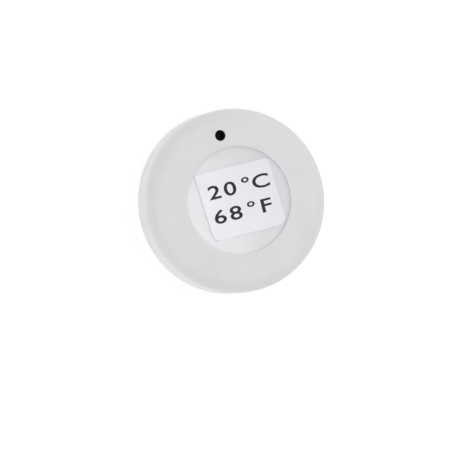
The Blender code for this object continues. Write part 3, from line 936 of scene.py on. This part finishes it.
@dataclass
class Housing:
    """The moulded puck: a cover with a dished recess and a port laps into a cup with a flat back.

    The recess floor is polished; the cup's colour is a shade lighter, as painted light on the side wall.
    """

    turning: TurningTree
    body_radius: float = 16.5 * MM
    height: float = 8.6 * MM
    inner_radius: float = 15.1 * MM
    back_wall: float = 1.0 * MM
    face_wall: float = 1.1 * MM
    face_edge_radius: float = 2.3 * MM
    back_edge_radius: float = 0.4 * MM
    flat_margin: float = 0.3 * MM
    floor_fillet: float = 0.5 * MM
    seam_height: float = 5.9 * MM
    seam_gap: float = 0.1 * MM
    seam_edge_radius: float = 0.12 * MM
    lap_height: float = 1.5 * MM
    tongue_wall: float = 0.6 * MM
    bead: float = 0.15 * MM
    bead_depth: float = 0.9 * MM
    recess_radius: float = 9.62 * MM
    recess_depth: float = 0.4 * MM
    recess_dish: float = 0.25 * MM
    recess_foot_radius: float = 0.03 * MM
    recess_lip_radius: float = 0.06 * MM
    lip_slope_width: float = 1.05 * MM
    lip_slope_drop: float = 0.02 * MM
    lip_slope_steps: int = 8
    recess_wall: float = 0.8 * MM
    recess_underside: float = 6.75 * MM
    port_circle: float = 12.0 * MM
    port_radius: float = 0.98 * MM
    port_edge_radius: float = 0.05 * MM
    pocket_radius: float = 1.5 * MM
    collar_radius: float = 2.0 * MM
    collar_depth: float = 0.35 * MM
    seat_gap: float = 0.05 * MM
    board_low: float = 5.0 * MM
    board_high: float = 5.8 * MM
    post_circle: float = 13.3 * MM
    post_radius: float = 1.0 * MM
    pin_radius: float = 0.45 * MM
    post_angles: tuple[float, ...] = (45.0, 135.0, 225.0, 315.0)
    gusset_wall: float = 0.8 * MM
    gusset_height: float = 3.1 * MM
    gusset_root: float = 0.45 * MM
    guide_inner: float = 10.25 * MM
    guide_wall: float = 0.6 * MM
    guide_height: float = 3.0 * MM
    guide_angles: tuple[float, ...] = (67.5, 112.5, 247.5, 292.5)
    guide_span: float = 22.0
    guide_steps: int = 14
    steps: int = 192
    small_steps: int = 48
    cover_finish: Finish = MouldedPlastic(
        "satin light grey ABS of the cover", "#D8D9DB", 0.42, ior=1.53, polished_radius=9.72 * MM
    )
    # The cup's colour is a shade lighter than the cover's: painted light that brightens the side wall.
    cup_finish: Finish = MouldedPlastic(
        "satin light grey ABS of the cup", "#E0E1E2", 0.42, ior=1.53, shade="#DCDDDE"
    )

    def dish(self, radius: float, floor: float) -> float:
        """Return the height of the dished floor at a radius, above its lowest point."""
        ball = (self.recess_radius**2 + self.recess_dish**2) / (2 * self.recess_dish)
        return floor + ball - math.sqrt(ball**2 - radius**2)

    def floor(self) -> float:
        """Return the lowest height of the recess floor."""
        return self.height - self.recess_depth - self.recess_dish

    def dish_points(self, radius: float, floor: float, steps: int) -> Profile:
        """Return profile points along the dish from the axis outwards."""
        return [(radius * i / steps, self.dish(radius * i / steps, floor)) for i in range(steps + 1)]

    def cover_profile(self) -> Profile:
        """Draw the cover's section, from the recess floor out over the rim and back inside.

        Returns:
            Its points.
        """
        foot, lip, edge = self.recess_foot_radius, self.recess_lip_radius, self.recess_radius
        points = self.dish_points(edge - foot, self.floor(), steps=14)
        points += arc((edge - foot, points[-1][1] + foot), foot, -90, 0, steps=6)[1:]
        points += arc((edge + lip, self.height - self.lip_slope_drop - lip), lip, 180, 90, steps=6)
        # From the lip the face rises on a long soft slope, which catches the light.
        for step in range(1, self.lip_slope_steps + 1):
            share = step / self.lip_slope_steps
            drop = self.lip_slope_drop * (1 - share) ** 2
            points.append((edge + lip + self.lip_slope_width * share, self.height - drop))
        centre = (self.body_radius - self.face_edge_radius, self.height - self.face_edge_radius)
        points.append((centre[0] - self.flat_margin, self.height))
        points += arc(centre, self.face_edge_radius, 90, 0, steps=24)
        rim, small = self.seam_height + self.seam_gap / 2, self.seam_edge_radius
        points += arc((self.body_radius - small, rim + small), small, 0, -90, steps=4)
        tongue = self.inner_radius + self.tongue_wall
        tip = self.seam_height - self.lap_height + self.seam_gap
        points += [(tongue, rim)] + snap_bead(tongue, self.seam_height - self.bead_depth, self.bead)
        points += [(tongue, tip), (self.inner_radius, tip)]
        underside, inner = self.height - self.face_wall, self.face_edge_radius - self.face_wall
        points += arc((self.inner_radius - inner, underside - inner), inner, 0, 90, steps=8)
        # The underside of the face follows the dish, with a wall of its own.
        boss = edge + self.recess_wall
        return points + [(boss, underside)] + self.dish_points(boss, self.recess_underside, steps=8)[::-1]

    def posts(self, profile: Profile) -> list[Item]:
        """Turn the same post at each of the four angles."""
        places = [on_circle(self.post_circle, degrees) for degrees in self.post_angles]
        return [self.turning.turn("post", profile, self.small_steps, place) for place in places]

    def cover(self) -> Item:
        """Make the cover: the turned shell, its hold-down posts, and the port with its collar.

        Returns:
            The cover.
        """
        shell = self.turning.turn("front_cover_moulding", self.cover_profile(), self.steps)
        # The posts and the collar reach a third of the way into the face's wall, which joins them to it.
        underside, sunk = self.height - self.face_wall, self.height - self.face_wall * 2 / 3
        radius, seat = self.post_radius, self.board_high + self.seat_gap
        tools = self.posts([(0.0, seat), (radius, seat), (radius, sunk), (0.0, sunk)])
        port, low = (0.0, self.port_circle), underside - self.collar_depth
        collar = [(0.0, low), (self.collar_radius, low), (self.collar_radius, sunk), (0.0, sunk)]
        tools.append(self.turning.turn("collar", collar, self.small_steps, port))
        shell = combine(shell, add_mesh("posts and collar", gathered(tools), outward=False), "UNION")
        hole, edge, above = self.port_radius, self.port_edge_radius, self.height + self.face_wall
        pocket, pocket_top = self.pocket_radius, underside + self.seat_gap
        bore = [(0.0, self.board_high), (pocket, self.board_high), (pocket, pocket_top), (hole, pocket_top)]
        bore += arc((hole + edge, self.height - edge), edge, 180, 90, steps=5)
        bore += [(hole + edge, above), (0.0, above)]
        cutter = self.turning.turn("port", bore, self.small_steps, port)
        return soften(combine(shell, cutter, "DIFFERENCE"))

    def cup_profile(self) -> Profile:
        """Draw the cup's section, from the back out, up the side wall and back inside.

        Returns:
            Its points.
        """
        back, rim, margin = self.back_edge_radius, self.seam_edge_radius, self.flat_margin
        outer, high = self.body_radius, self.seam_height - self.seam_gap / 2
        points = [(0.0, 0.0), (outer - back - margin, 0.0)]
        points += arc((outer - back, back), back, -90, 0, steps=8)
        points += [(outer, back + margin), (outer, high - rim - margin)]
        points += arc((outer - rim, high - rim), rim, 0, 90, steps=4)
        lip, lap = self.inner_radius + self.tongue_wall + self.seam_gap, self.seam_height - self.lap_height
        points += [(lip, high)] + snap_bead(lip, self.seam_height - self.bead_depth, self.bead)
        points += [(lip, lap), (self.inner_radius, lap)]
        fillet = self.floor_fillet
        points += arc((self.inner_radius - fillet, self.back_wall + fillet), fillet, 0, -90, steps=6)
        return points + [(0.0, self.back_wall)]

    def guide(self, degrees: float) -> Item:
        """Make one curved rib that keeps the cell centred.

        Args:
            degrees: Where its middle stands.

        Returns:
            The rib.
        """
        root, top, inner = self.back_wall / 2, self.guide_height, self.guide_inner
        outer = inner + self.guide_wall
        bm = bmesh.new()
        corners = ((inner, root), (outer, root), (outer, top), (inner, top))
        face = bm.faces.new([bm.verts.new((radius, 0.0, height)) for radius, height in corners])
        bm.transform(Matrix.Rotation(math.radians(degrees - self.guide_span / 2), 4, "Z"))
        turn = {"axis": (0, 0, 1), "angle": math.radians(self.guide_span), "steps": self.guide_steps}
        bmesh.ops.spin(bm, geom=[face], cent=(0, 0, 0), use_merge=False, **turn)
        return add_mesh("guide", bm)

    def gusset(self, degrees: float) -> Item:
        """Make one web between a post and the side wall.

        Args:
            degrees: Where it stands.

        Returns:
            The web.
        """
        length = self.inner_radius + self.gusset_root - self.post_circle
        bm = bmesh.new()
        bmesh.ops.create_cube(bm, size=1.0)
        bm.transform(Matrix.Diagonal((length, self.gusset_wall, self.gusset_height, 1.0)))
        middle = (self.post_circle + length / 2, 0.0, self.back_wall / 2 + self.gusset_height / 2)
        bm.transform(Matrix.Translation(middle))
        bm.transform(Matrix.Rotation(math.radians(degrees), 4, "Z"))
        return add_mesh("gusset", bm)

    def cup(self) -> Item:
        """Make the cup: the turned shell with posts, pins, gussets and cell guides.

        Returns:
            The cup.
        """
        shell = self.turning.turn("rear_housing_moulding", self.cup_profile(), self.steps)
        root, seat = self.back_wall / 2, self.board_low - self.seat_gap
        tip = self.board_high - self.seam_gap
        post = [(0.0, root), (self.post_radius, root), (self.post_radius, seat), (self.pin_radius, seat)]
        posts = self.posts(post + [(self.pin_radius, tip), (0.0, tip)])
        ribs = [self.gusset(a) for a in self.post_angles] + [self.guide(a) for a in self.guide_angles]
        for name, tools in (("posts", posts), ("ribs", ribs)):
            shell = combine(shell, add_mesh(name, gathered(tools), outward=False), "UNION")
        return soften(shell)

    def build(self) -> list[Item]:
        """Make and dress both mouldings."""
        cover = take_place(self.cover(), self.cover_finish, "front_cover")
        return [cover, take_place(self.cup(), self.cup_finish, "rear_housing")]


@dataclass
class LabelTape:
    """The cut piece of label tape in the recess, with a plain temperature in two rows.

    The thickness is that of the tape with its adhesive. The leans are those of the two cut sides,
    and a corner is a radius with the number of flats that round it, where one flat is a nipped corner.
    """

    housing: Housing
    width: float = 14.0 * MM
    height: float = 12.3 * MM
    thickness: float = 0.18 * MM
    gap: float = 0.01 * MM
    shift: float = 0.42 * MM
    turn: float = math.radians(-2.5)
    leans: Spot = (0.06, 0.044)
    corners: tuple[tuple[float, int], ...] = ((0.5 * MM, 1), (0.8 * MM, 7), (1.8 * MM, 1), (1.15 * MM, 9))
    cells: tuple[int, int] = (34, 30)
    weld: float = 0.01 * MM
    rows: tuple[str, ...] = ("20°C", "68°F")
    row_heights: tuple[float, ...] = (1.2 * MM, -3.24 * MM)
    glyph_middles: tuple[float, ...] = (-4.45 * MM, -1.45 * MM, 1.6 * MM, 4.4 * MM)
    cap_height: float = 2.5 * MM
    cap_share: float = 0.729
    glyph_stretch: float = 1.45
    stroke_growth: float = 0.045 * MM
    ink_thickness: float = 0.012 * MM
    film: Finish = LabelFilm("white laminated polyester tape", "#E3E4E9", 0.26, ior=1.57)
    ink: Finish = TransferInk("dark grey thermal transfer ink", "#141518", 0.55, ior=1.44)

    def lay_down(self, bm: Mesh, lift: float) -> None:
        """Turn and move a flat mesh onto the label, and bend it to the dish.

        Args:
            bm: The mesh, drawn about the label's own centre.
            lift: How far its underside is above the recess floor.
        """
        bm.transform(Matrix.Rotation(self.turn, 4, "Z"))
        bm.transform(Matrix.Translation((self.shift, 0.0, 0.0)))
        for v in bm.verts:
            v.co.z += self.housing.dish(math.hypot(v.co.x, v.co.y), self.housing.floor()) + lift

    def point(self, across: float, up: float) -> Vector:
        """Find the place of a point of the tape.

        Args:
            across: From -1 at the left to 1 at the right.
            up: From -1 at the bottom to 1 at the top.

        Returns:
            The point, about the label's own centre.
        """
        lean = self.leans[0] + (self.leans[1] - self.leans[0]) * (across + 1.0) / 2.0
        y = up * self.height / 2
        return Vector((across * self.width / 2 - lean * y, y, 0.0))

    def tape(self) -> Item:
        """Make the tape: a sheet cut with scissors, its corners rounded, that follows the dish.

        Returns:
            The tape.
        """
        bm = bmesh.new()
        bmesh.ops.create_grid(bm, x_segments=self.cells[0], y_segments=self.cells[1], size=1.0)
        for v in bm.verts:
            v.co = self.point(v.co.x, v.co.y)
        for (side_x, side_y), (radius, cuts) in zip(((-1, 1), (1, 1), (1, -1), (-1, -1)), self.corners):
            centre = self.point(side_x, side_y) - Vector((side_x, side_y, 0.0)) * radius
            for number in range(1, cuts + 1):
                turn = math.pi / 2 * number / (cuts + 1)
                away = Vector((side_x * math.cos(turn), side_y * math.sin(turn), 0.0))
                geometry = bm.verts[:] + bm.edges[:] + bm.faces[:]
                cut = {"plane_co": centre + away * radius, "plane_no": away, "clear_outer": True}
                bmesh.ops.bisect_plane(bm, geom=geometry, **cut)
        bmesh.ops.remove_doubles(bm, verts=bm.verts, dist=self.weld)
        extrude(bm, bm.faces[:], (0.0, 0.0, self.thickness))
        self.lay_down(bm, self.gap)
        return soften(add_mesh("label_tape", bm))

    def glyph(self, sign: str, place: Spot) -> Item:
        """Make one sign as a thin solid.

        Args:
            sign: The sign.
            place: Where its middle and its foot are, from the label's centre.

        Returns:
            The solid.
        """
        text = bpy.data.curves.new("glyph", "FONT")
        text.body = sign
        text.size = self.cap_height / self.cap_share
        text.offset = self.stroke_growth
        text.extrude = self.ink_thickness / 2
        text.resolution_u = 5
        item = face_outwards(settle(add_object("glyph", text)))
        across = [v.co.x for v in item.data.vertices]
        to_middle = Matrix.Translation((-(min(across) + max(across)) / 2, 0.0, self.ink_thickness / 2))
        stretch = Matrix.Diagonal((self.glyph_stretch, 1.0, 1.0, 1.0))
        for change in (to_middle, stretch, Matrix.Translation((*place, 0.0))):
            item.data.transform(change)
        return item

    def print(self) -> Item:
        """Make the printed rows, which lie on the tape.

        Returns:
            The print.
        """
        rows = zip(self.rows, self.row_heights)
        places = [(sign, (x, y)) for row, y in rows for sign, x in zip(row, self.glyph_middles)]
        bm = gathered([self.glyph(sign, place) for sign, place in places])
        self.lay_down(bm, self.gap + self.thickness)
        return add_mesh("label_print", bm, outward=False)

    def build(self) -> list[Item]:
        """Make and dress the tape and its print."""
        tape = take_place(self.tape(), self.film, "label")
        return [tape, take_place(self.print(), self.ink)]


@dataclass
class SensingPort:
    """What lies below the port: the rubber seal and the sensor chip with its window."""

    # The rubber is coloured darker than black rubber is: painted shade that deepens the dark of the port.
    rubber: Finish = Rubber("black silicone rubber", "#080809", 0.75, ior=1.41)
    chip_size: float = 2.5 * MM

    def build(self) -> list[Item]:
        """Dress the seal and the chip.

        Returns:
            Their objects.
        """
        where = {"middle": middle_of("temperature_sensor"), "size": self.chip_size}
        # The sensor's mould is coloured darker than the radio chip's: painted shade in the bottom of the
        # port.
        mould = ChipMould("black sensor mould", "#0E0E0F", 0.7, ior=1.55, **where)
        return [dress("port_seal", self.rubber), dress("temperature_sensor", mould)]


@dataclass
class Power:
    """The coin cell in its clip, and the washer that meets its cap.

    The can is bright with fine rings from the press. The clip gleams softly along its strip, and the
    washer is a warm yellow with rings.
    """

    can: Finish = Metal("pressed stainless steel", "#B9B8B6", 0.28, lay=Lay.ROUND)
    spring: Finish = Metal("tinned spring steel strip", "#C2C0BA", 0.32, lay=Lay.ALONG_X)
    washer: Finish = Metal("gilt spring bronze", "#DDB96F", 0.26, lay=Lay.ROUND)

    def build(self) -> list[Item]:
        """Dress the cell, the clip and the washer."""
        finishes = {"coin_cell": self.can, "battery_clip": self.spring, "negative_contact": self.washer}
        return [dress(node, finish) for node, finish in finishes.items()]


@dataclass(frozen=True)
class Ends:
    """The looks of a small part with two tinned ends.

    Attributes:
        colour: The body's colour.
        shade: The colour that its tone drifts to.
        roughness: The body's roughness.
        share: Each end's share of the length.
        stripes: The pitch of printed metal lines across the body, or 0.
    """

    colour: str
    shade: str
    roughness: float
    share: float
    stripes: float = 0.0


# The start of a node's name, and the looks of such parts.
SMALL_PARTS = {
    "capacitor": Ends("#9A7A58", "#84694C", 0.45, 0.25),
    "reserve_capacitor": Ends("#8F714F", "#7B6144", 0.45, 1 / 6),
    "resistor": Ends("#26262A", "#212124", 0.35, 0.25),
    "inductor": Ends("#4A4A4E", "#404043", 0.6, 0.2),
    "chip_antenna": Ends("#DADCD8", "#BBBDBA", 0.5, 0.1, stripes=0.8 * MM),
    "status_light": Ends("#E6E0BC", "#C6C1A2", 0.2, 0.2),
}


@dataclass
class Board:
    """The round board with its chips and small parts, their solder and the ring of earth eyelets."""

    copies: CopiesTree
    eyelets: RingOfEyelets
    top: float = 5.8 * MM
    chip_size: float = 6.0 * MM
    crystals: tuple[str, ...] = ("radio_crystal", "clock_crystal")
    lid_share: float = 0.405
    solder_reach: float = 0.28 * MM
    solder_under: float = 0.2 * MM
    solder_rise: float = 0.55
    solder_width: float = 0.9
    solder_film: float = 0.06
    solder_steps: int = 6
    eyelet_count: int = 64
    eyelet_circle: float = 14.1 * MM
    eyelet_radius: float = 0.16 * MM
    eyelet_width: float = 0.1 * MM
    eyelet_height: float = 0.02 * MM
    antenna_clearance: float = 11.0 * MM

    def small_parts(self) -> list[str]:
        """Return the nodes that have two tinned ends."""
        return [name for name in sorted(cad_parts) if name.startswith(tuple(SMALL_PARTS))]

    def dress_small_part(self, node: str) -> Item:
        """Dress a part that has two tinned ends.

        Args:
            node: The part.

        Returns:
            Its object.
        """
        look = next(look for start, look in SMALL_PARTS.items() if node.startswith(start))
        low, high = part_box(node)
        size = high - low
        finish = ChipBody(
            f"fired body and tinned ends of {node}",
            look.colour,
            look.roughness,
            ior=1.6,
            shade=look.shade,
            middle=middle_of(node),
            along_x=size.x > size.y,
            half_body=max(size.x, size.y) * (0.5 - look.share),
            stripes=look.stripes,
        )
        return dress(node, finish)

    def solder_drop(self) -> Item:
        """Make one solder fillet of unit reach, width and rise, with its foot below the part.

        Returns:
            The fillet.
        """
        turns = [math.pi / 2 * i / self.solder_steps for i in range(1, self.solder_steps + 1)]
        under = -self.solder_under / self.solder_reach
        outline = [(under, 0.0), (1.0, 0.0), *((1.0 - math.sin(t), 1.0 - math.cos(t)) for t in turns)]
        outline += [(0.0, self.solder_film), (under, self.solder_film)]
        bm = bmesh.new()
        face = bm.faces.new([bm.verts.new((x, -0.5, z)) for x, z in outline])
        extrude(bm, [face], (0.0, 1.0, 0.0))
        return add_mesh("solder drop", bm)

    def solder(self) -> Item:
        """Make the solder fillets at the ends of every small part.

        Returns:
            The fillets as one object.
        """
        spots, turns, sizes = [], [], []
        for node in [*self.small_parts(), *self.crystals]:
            low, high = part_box(node)
            size, middle = high - low, (low + high) / 2
            half, width = max(size.x, size.y) / 2, min(size.x, size.y) * self.solder_width
            for side in (1, -1):
                away = Vector((side, 0.0, 0.0)) if size.x > size.y else Vector((0.0, side, 0.0))
                spot = middle + away * half
                spots.append((spot.x, spot.y, self.top))
                turns.append(math.atan2(away.y, away.x))
                sizes += [self.solder_reach, width, size.z * self.solder_rise]
        mesh = bpy.data.meshes.new("solder points")
        mesh.from_pydata(spots, [], [])
        mesh.attributes.new("turn", "FLOAT", "POINT").data.foreach_set("value", turns)
        mesh.attributes.new("size", "FLOAT_VECTOR", "POINT").data.foreach_set("vector", sizes)
        points = add_object("solder_joints", mesh)
        drop = self.solder_drop()
        done = self.copies.run(points, {"Shape": drop})
        bpy.data.objects.remove(drop)
        return soften(done, sharp_angle=50.0)

    def earth_ring(self) -> Item:
        """Make the ring of plated eyelets near the board's rim, clear of the antenna.

        Returns:
            The ring.
        """
        values = {
            "Count": self.eyelet_count,
            "Circle Radius": self.eyelet_circle,
            "Eyelet Radius": self.eyelet_radius,
            "Eyelet Width": self.eyelet_width,
            "Eyelet Height": self.eyelet_height,
            "Clear Below": -self.antenna_clearance,
        }
        ring = self.eyelets.run(add_object("earth_eyelets", bpy.data.meshes.new("earth_eyelets")), values)
        ring.data.transform(Matrix.Translation((0.0, 0.0, self.top + self.eyelet_height / 2)))
        return soften(ring)

    def build(self) -> list[Item]:
        """Dress the board's nodes, and make the solder and the eyelets.

        Returns:
            The pieces.
        """
        low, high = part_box("circuit_board")
        faces = {"low": low.z, "high": high.z}
        laminate = BoardLaminate("green solder mask over laminate", "#1B5A37", 0.32, ior=1.55, **faces)
        where = {"middle": middle_of("radio_chip"), "size": self.chip_size}
        mould = ChipMould("black chip mould", "#1A1A1C", 0.5, ior=1.55, **where)
        pieces = [dress("circuit_board", laminate), dress("radio_chip", mould)]
        for node in self.crystals:
            low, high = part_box(node)
            lid = low.z + self.lid_share * (high.z - low.z)
            pieces.append(dress(node, CrystalCan(f"{node} can", "#6B6157", 0.5, lid_height=lid)))
        pieces += [self.dress_small_part(node) for node in self.small_parts()]
        return pieces + [take_place(self.solder(), SOLDER), take_place(self.earth_ring(), GILT)]


# Studio


@dataclass
class Lamp:
    """One soft square lamp that points at the sensor.

    Attributes:
        name: The lamp's name.
        azimuth: Its direction in degrees, from +X towards +Y.
        elevation: Its height in degrees.
        size: The length of its side.
        level: The share of the plain level that it gives a surface that faces it.
        distance: How far away it is.
    """

    name: str
    azimuth: float
    elevation: float
    size: float
    level: float
    distance: float = 0.8

    def build(self) -> None:
        """Make the lamp."""
        light = bpy.data.lights.new(self.name, "AREA")
        light.shape = "SQUARE"
        light.size = self.size
        # A small area lamp of this power lights a facing surface as a white world of that level does.
        light.energy = self.level * math.pi**2 * self.distance**2
        rise = math.radians(self.elevation)
        towards = Vector((*on_circle(math.cos(rise), self.azimuth), math.sin(rise)))
        item = add_object(self.name, light)
        item.location = towards * self.distance
        item.rotation_euler = towards.to_track_quat("Z", "Y").to_euler()


@dataclass
class Viewpoint:
    """The photograph's viewpoint: almost straight above, and far enough to look flat.

    Attributes:
        target: The middle of the face, in the part's frame.
        tilt: The angle between the line of sight and the part's axis.
        lean: Where the side wall shows, as an angle in the picture.
        roll: The turn of the port about the part's axis, from the way that the part tilts.
        distance: From the camera to the face.
        lens: The focal length for film that is film_width wide.
        film_width: The film's width, in the same unit.
        offset: Where the middle of the face is in the picture, right and up from the middle.
        clip: The nearest and the farthest distance that the camera sees.
    """

    target: tuple[float, float, float] = (0.0, 0.0, 8.6 * MM)
    tilt: float = math.radians(15.9)
    lean: float = math.radians(188.6)
    roll: float = math.radians(-81.96)
    distance: float = 550.0 * MM
    lens: float = 247.0
    film_width: float = 36.0
    offset: Spot = (2.551 * MM, 4.434 * MM)
    clip: Spot = (0.01, 20.0)

    def axes(self) -> Matrix:
        """Work out how the part lies before the camera.

        Returns:
            The part's X, Y and Z axes as the camera sees them, one row each.
        """
        away = self.lean + math.pi
        flat = math.sin(self.tilt)
        axis = Vector((math.cos(away) * flat, math.sin(away) * flat, math.cos(self.tilt)))
        level = Vector((-math.sin(self.lean), math.cos(self.lean), 0.0))
        port = level.cross(axis) * math.cos(self.roll) + level * math.sin(self.roll)
        return Matrix((port.cross(axis), port, axis))

    def build(self) -> None:
        """Make the camera and look through it."""
        lens = bpy.data.cameras.new("camera")
        lens.lens = self.lens
        lens.sensor_width = self.film_width
        lens.clip_start, lens.clip_end = self.clip
        camera = add_object("camera", lens)
        turn = self.axes()
        place = Vector(self.target) - turn @ Vector((*self.offset, -self.distance))
        camera.matrix_world = Matrix.Translation(place) @ turn.to_4x4()
        bpy.context.scene.camera = camera


@dataclass
class Studio:
    """A white table in a soft white tent: a small key lamp, a broad low one beside it, a fill opposite.

    Attributes:
        viewpoint: The camera.
        lamps: The lamps.
        tent_level: How bright the tent is as a light. As a thing that is seen, it is white.
        floor_glow: How much the table glows where it is seen, which takes it to white but for the shadow.
        floor_light: How much it glows as a light.
        floor_size: The length of its side.
        floor_drop: How far it is below the sensor's back.
        floor_colour: Its colour.
    """

    viewpoint: Viewpoint = field(default_factory=Viewpoint)
    lamps: tuple[Lamp, ...] = (
        Lamp("key", azimuth=4.6, elevation=66.5, size=0.21, level=0.088),
        Lamp("side", azimuth=24.0, elevation=24.0, size=0.5, level=0.13),
        Lamp("fill", azimuth=200.0, elevation=66.0, size=0.5, level=0.22),
    )
    tent_level: float = 0.665
    floor_glow: float = 0.22
    floor_light: float = 0.28
    floor_size: float = 6.0
    floor_drop: float = 0.02 * MM
    floor_colour: str = "#F4F4F4"

    def seen(self, tree: Tree) -> Node:
        """Tell the rays that show a thing itself, in the picture, in gloss or through glass.

        Args:
            tree: The tree that gets the nodes.

        Returns:
            A node that gives 1 for such rays.
        """
        path = add_node(tree, "ShaderNodeLightPath").outputs
        bent = {0: path["Is Glossy Ray"], 1: path["Is Transmission Ray"]}
        gloss = add_node(tree, "ShaderNodeMath", bent, operation="MAXIMUM")
        return add_node(tree, "ShaderNodeMath", {0: path["Is Camera Ray"], 1: gloss}, operation="MAXIMUM")

    def floor(self) -> None:
        """Make the table, which shows white and keeps the sensor's shadow."""
        bm = bmesh.new()
        bmesh.ops.create_grid(bm, x_segments=1, y_segments=1, size=self.floor_size / 2)
        bm.transform(Matrix.Translation((0.0, 0.0, -self.floor_drop)))
        item = add_mesh("table", bm, outward=False)
        # Laminate too matt for any gloss, that glows a little so that it shows white.
        material = bpy.data.materials.new("white laminate table")
        material.use_nodes = True
        tree = material.node_tree
        levels = {0: self.seen(tree), 2: self.floor_light, 3: self.floor_glow}
        glow = add_node(tree, "ShaderNodeMix", levels)
        look = {"Base Color": linear(self.floor_colour), "Roughness": 1.0, "Specular IOR Level": 0.0}
        light = {"Emission Color": WHITE, "Emission Strength": glow}
        connect(tree, tree.nodes["Principled BSDF"], look | light)
        item.data.materials.append(material)

    def tent(self) -> None:
        """Make the white tent, which looks white and gives an even light."""
        world = bpy.data.worlds.new("tent")
        world.use_nodes = True
        tree = world.node_tree
        strength = add_node(tree, "ShaderNodeMix", {0: self.seen(tree), 2: self.tent_level, 3: 1.0})
        connect(tree, tree.nodes["Background"], {"Color": WHITE, "Strength": strength})
        bpy.context.scene.world = world

    def build(self) -> None:
        """Set the floor, the tent, the lamps and the camera."""
        bpy.context.scene.view_settings.view_transform = "Standard"
        self.floor()
        self.tent()
        for lamp in self.lamps:
            lamp.build()
        self.viewpoint.build()


def main() -> None:
    """Build the studio and every sub-assembly in order, and report each piece."""
    logging.basicConfig(level=logging.INFO, format="%(message)s")
    Studio().build()
    housing, board = Housing(TurningTree()), Board(CopiesTree(), RingOfEyelets())
    for assembly in (housing, LabelTape(housing), SensingPort(), Power(), board):
        for piece in assembly.build():
            log.info("%s: %s, %d faces", type(assembly).__name__, piece.name, len(piece.data.polygons))


if __name__ == "__main__":
    main()
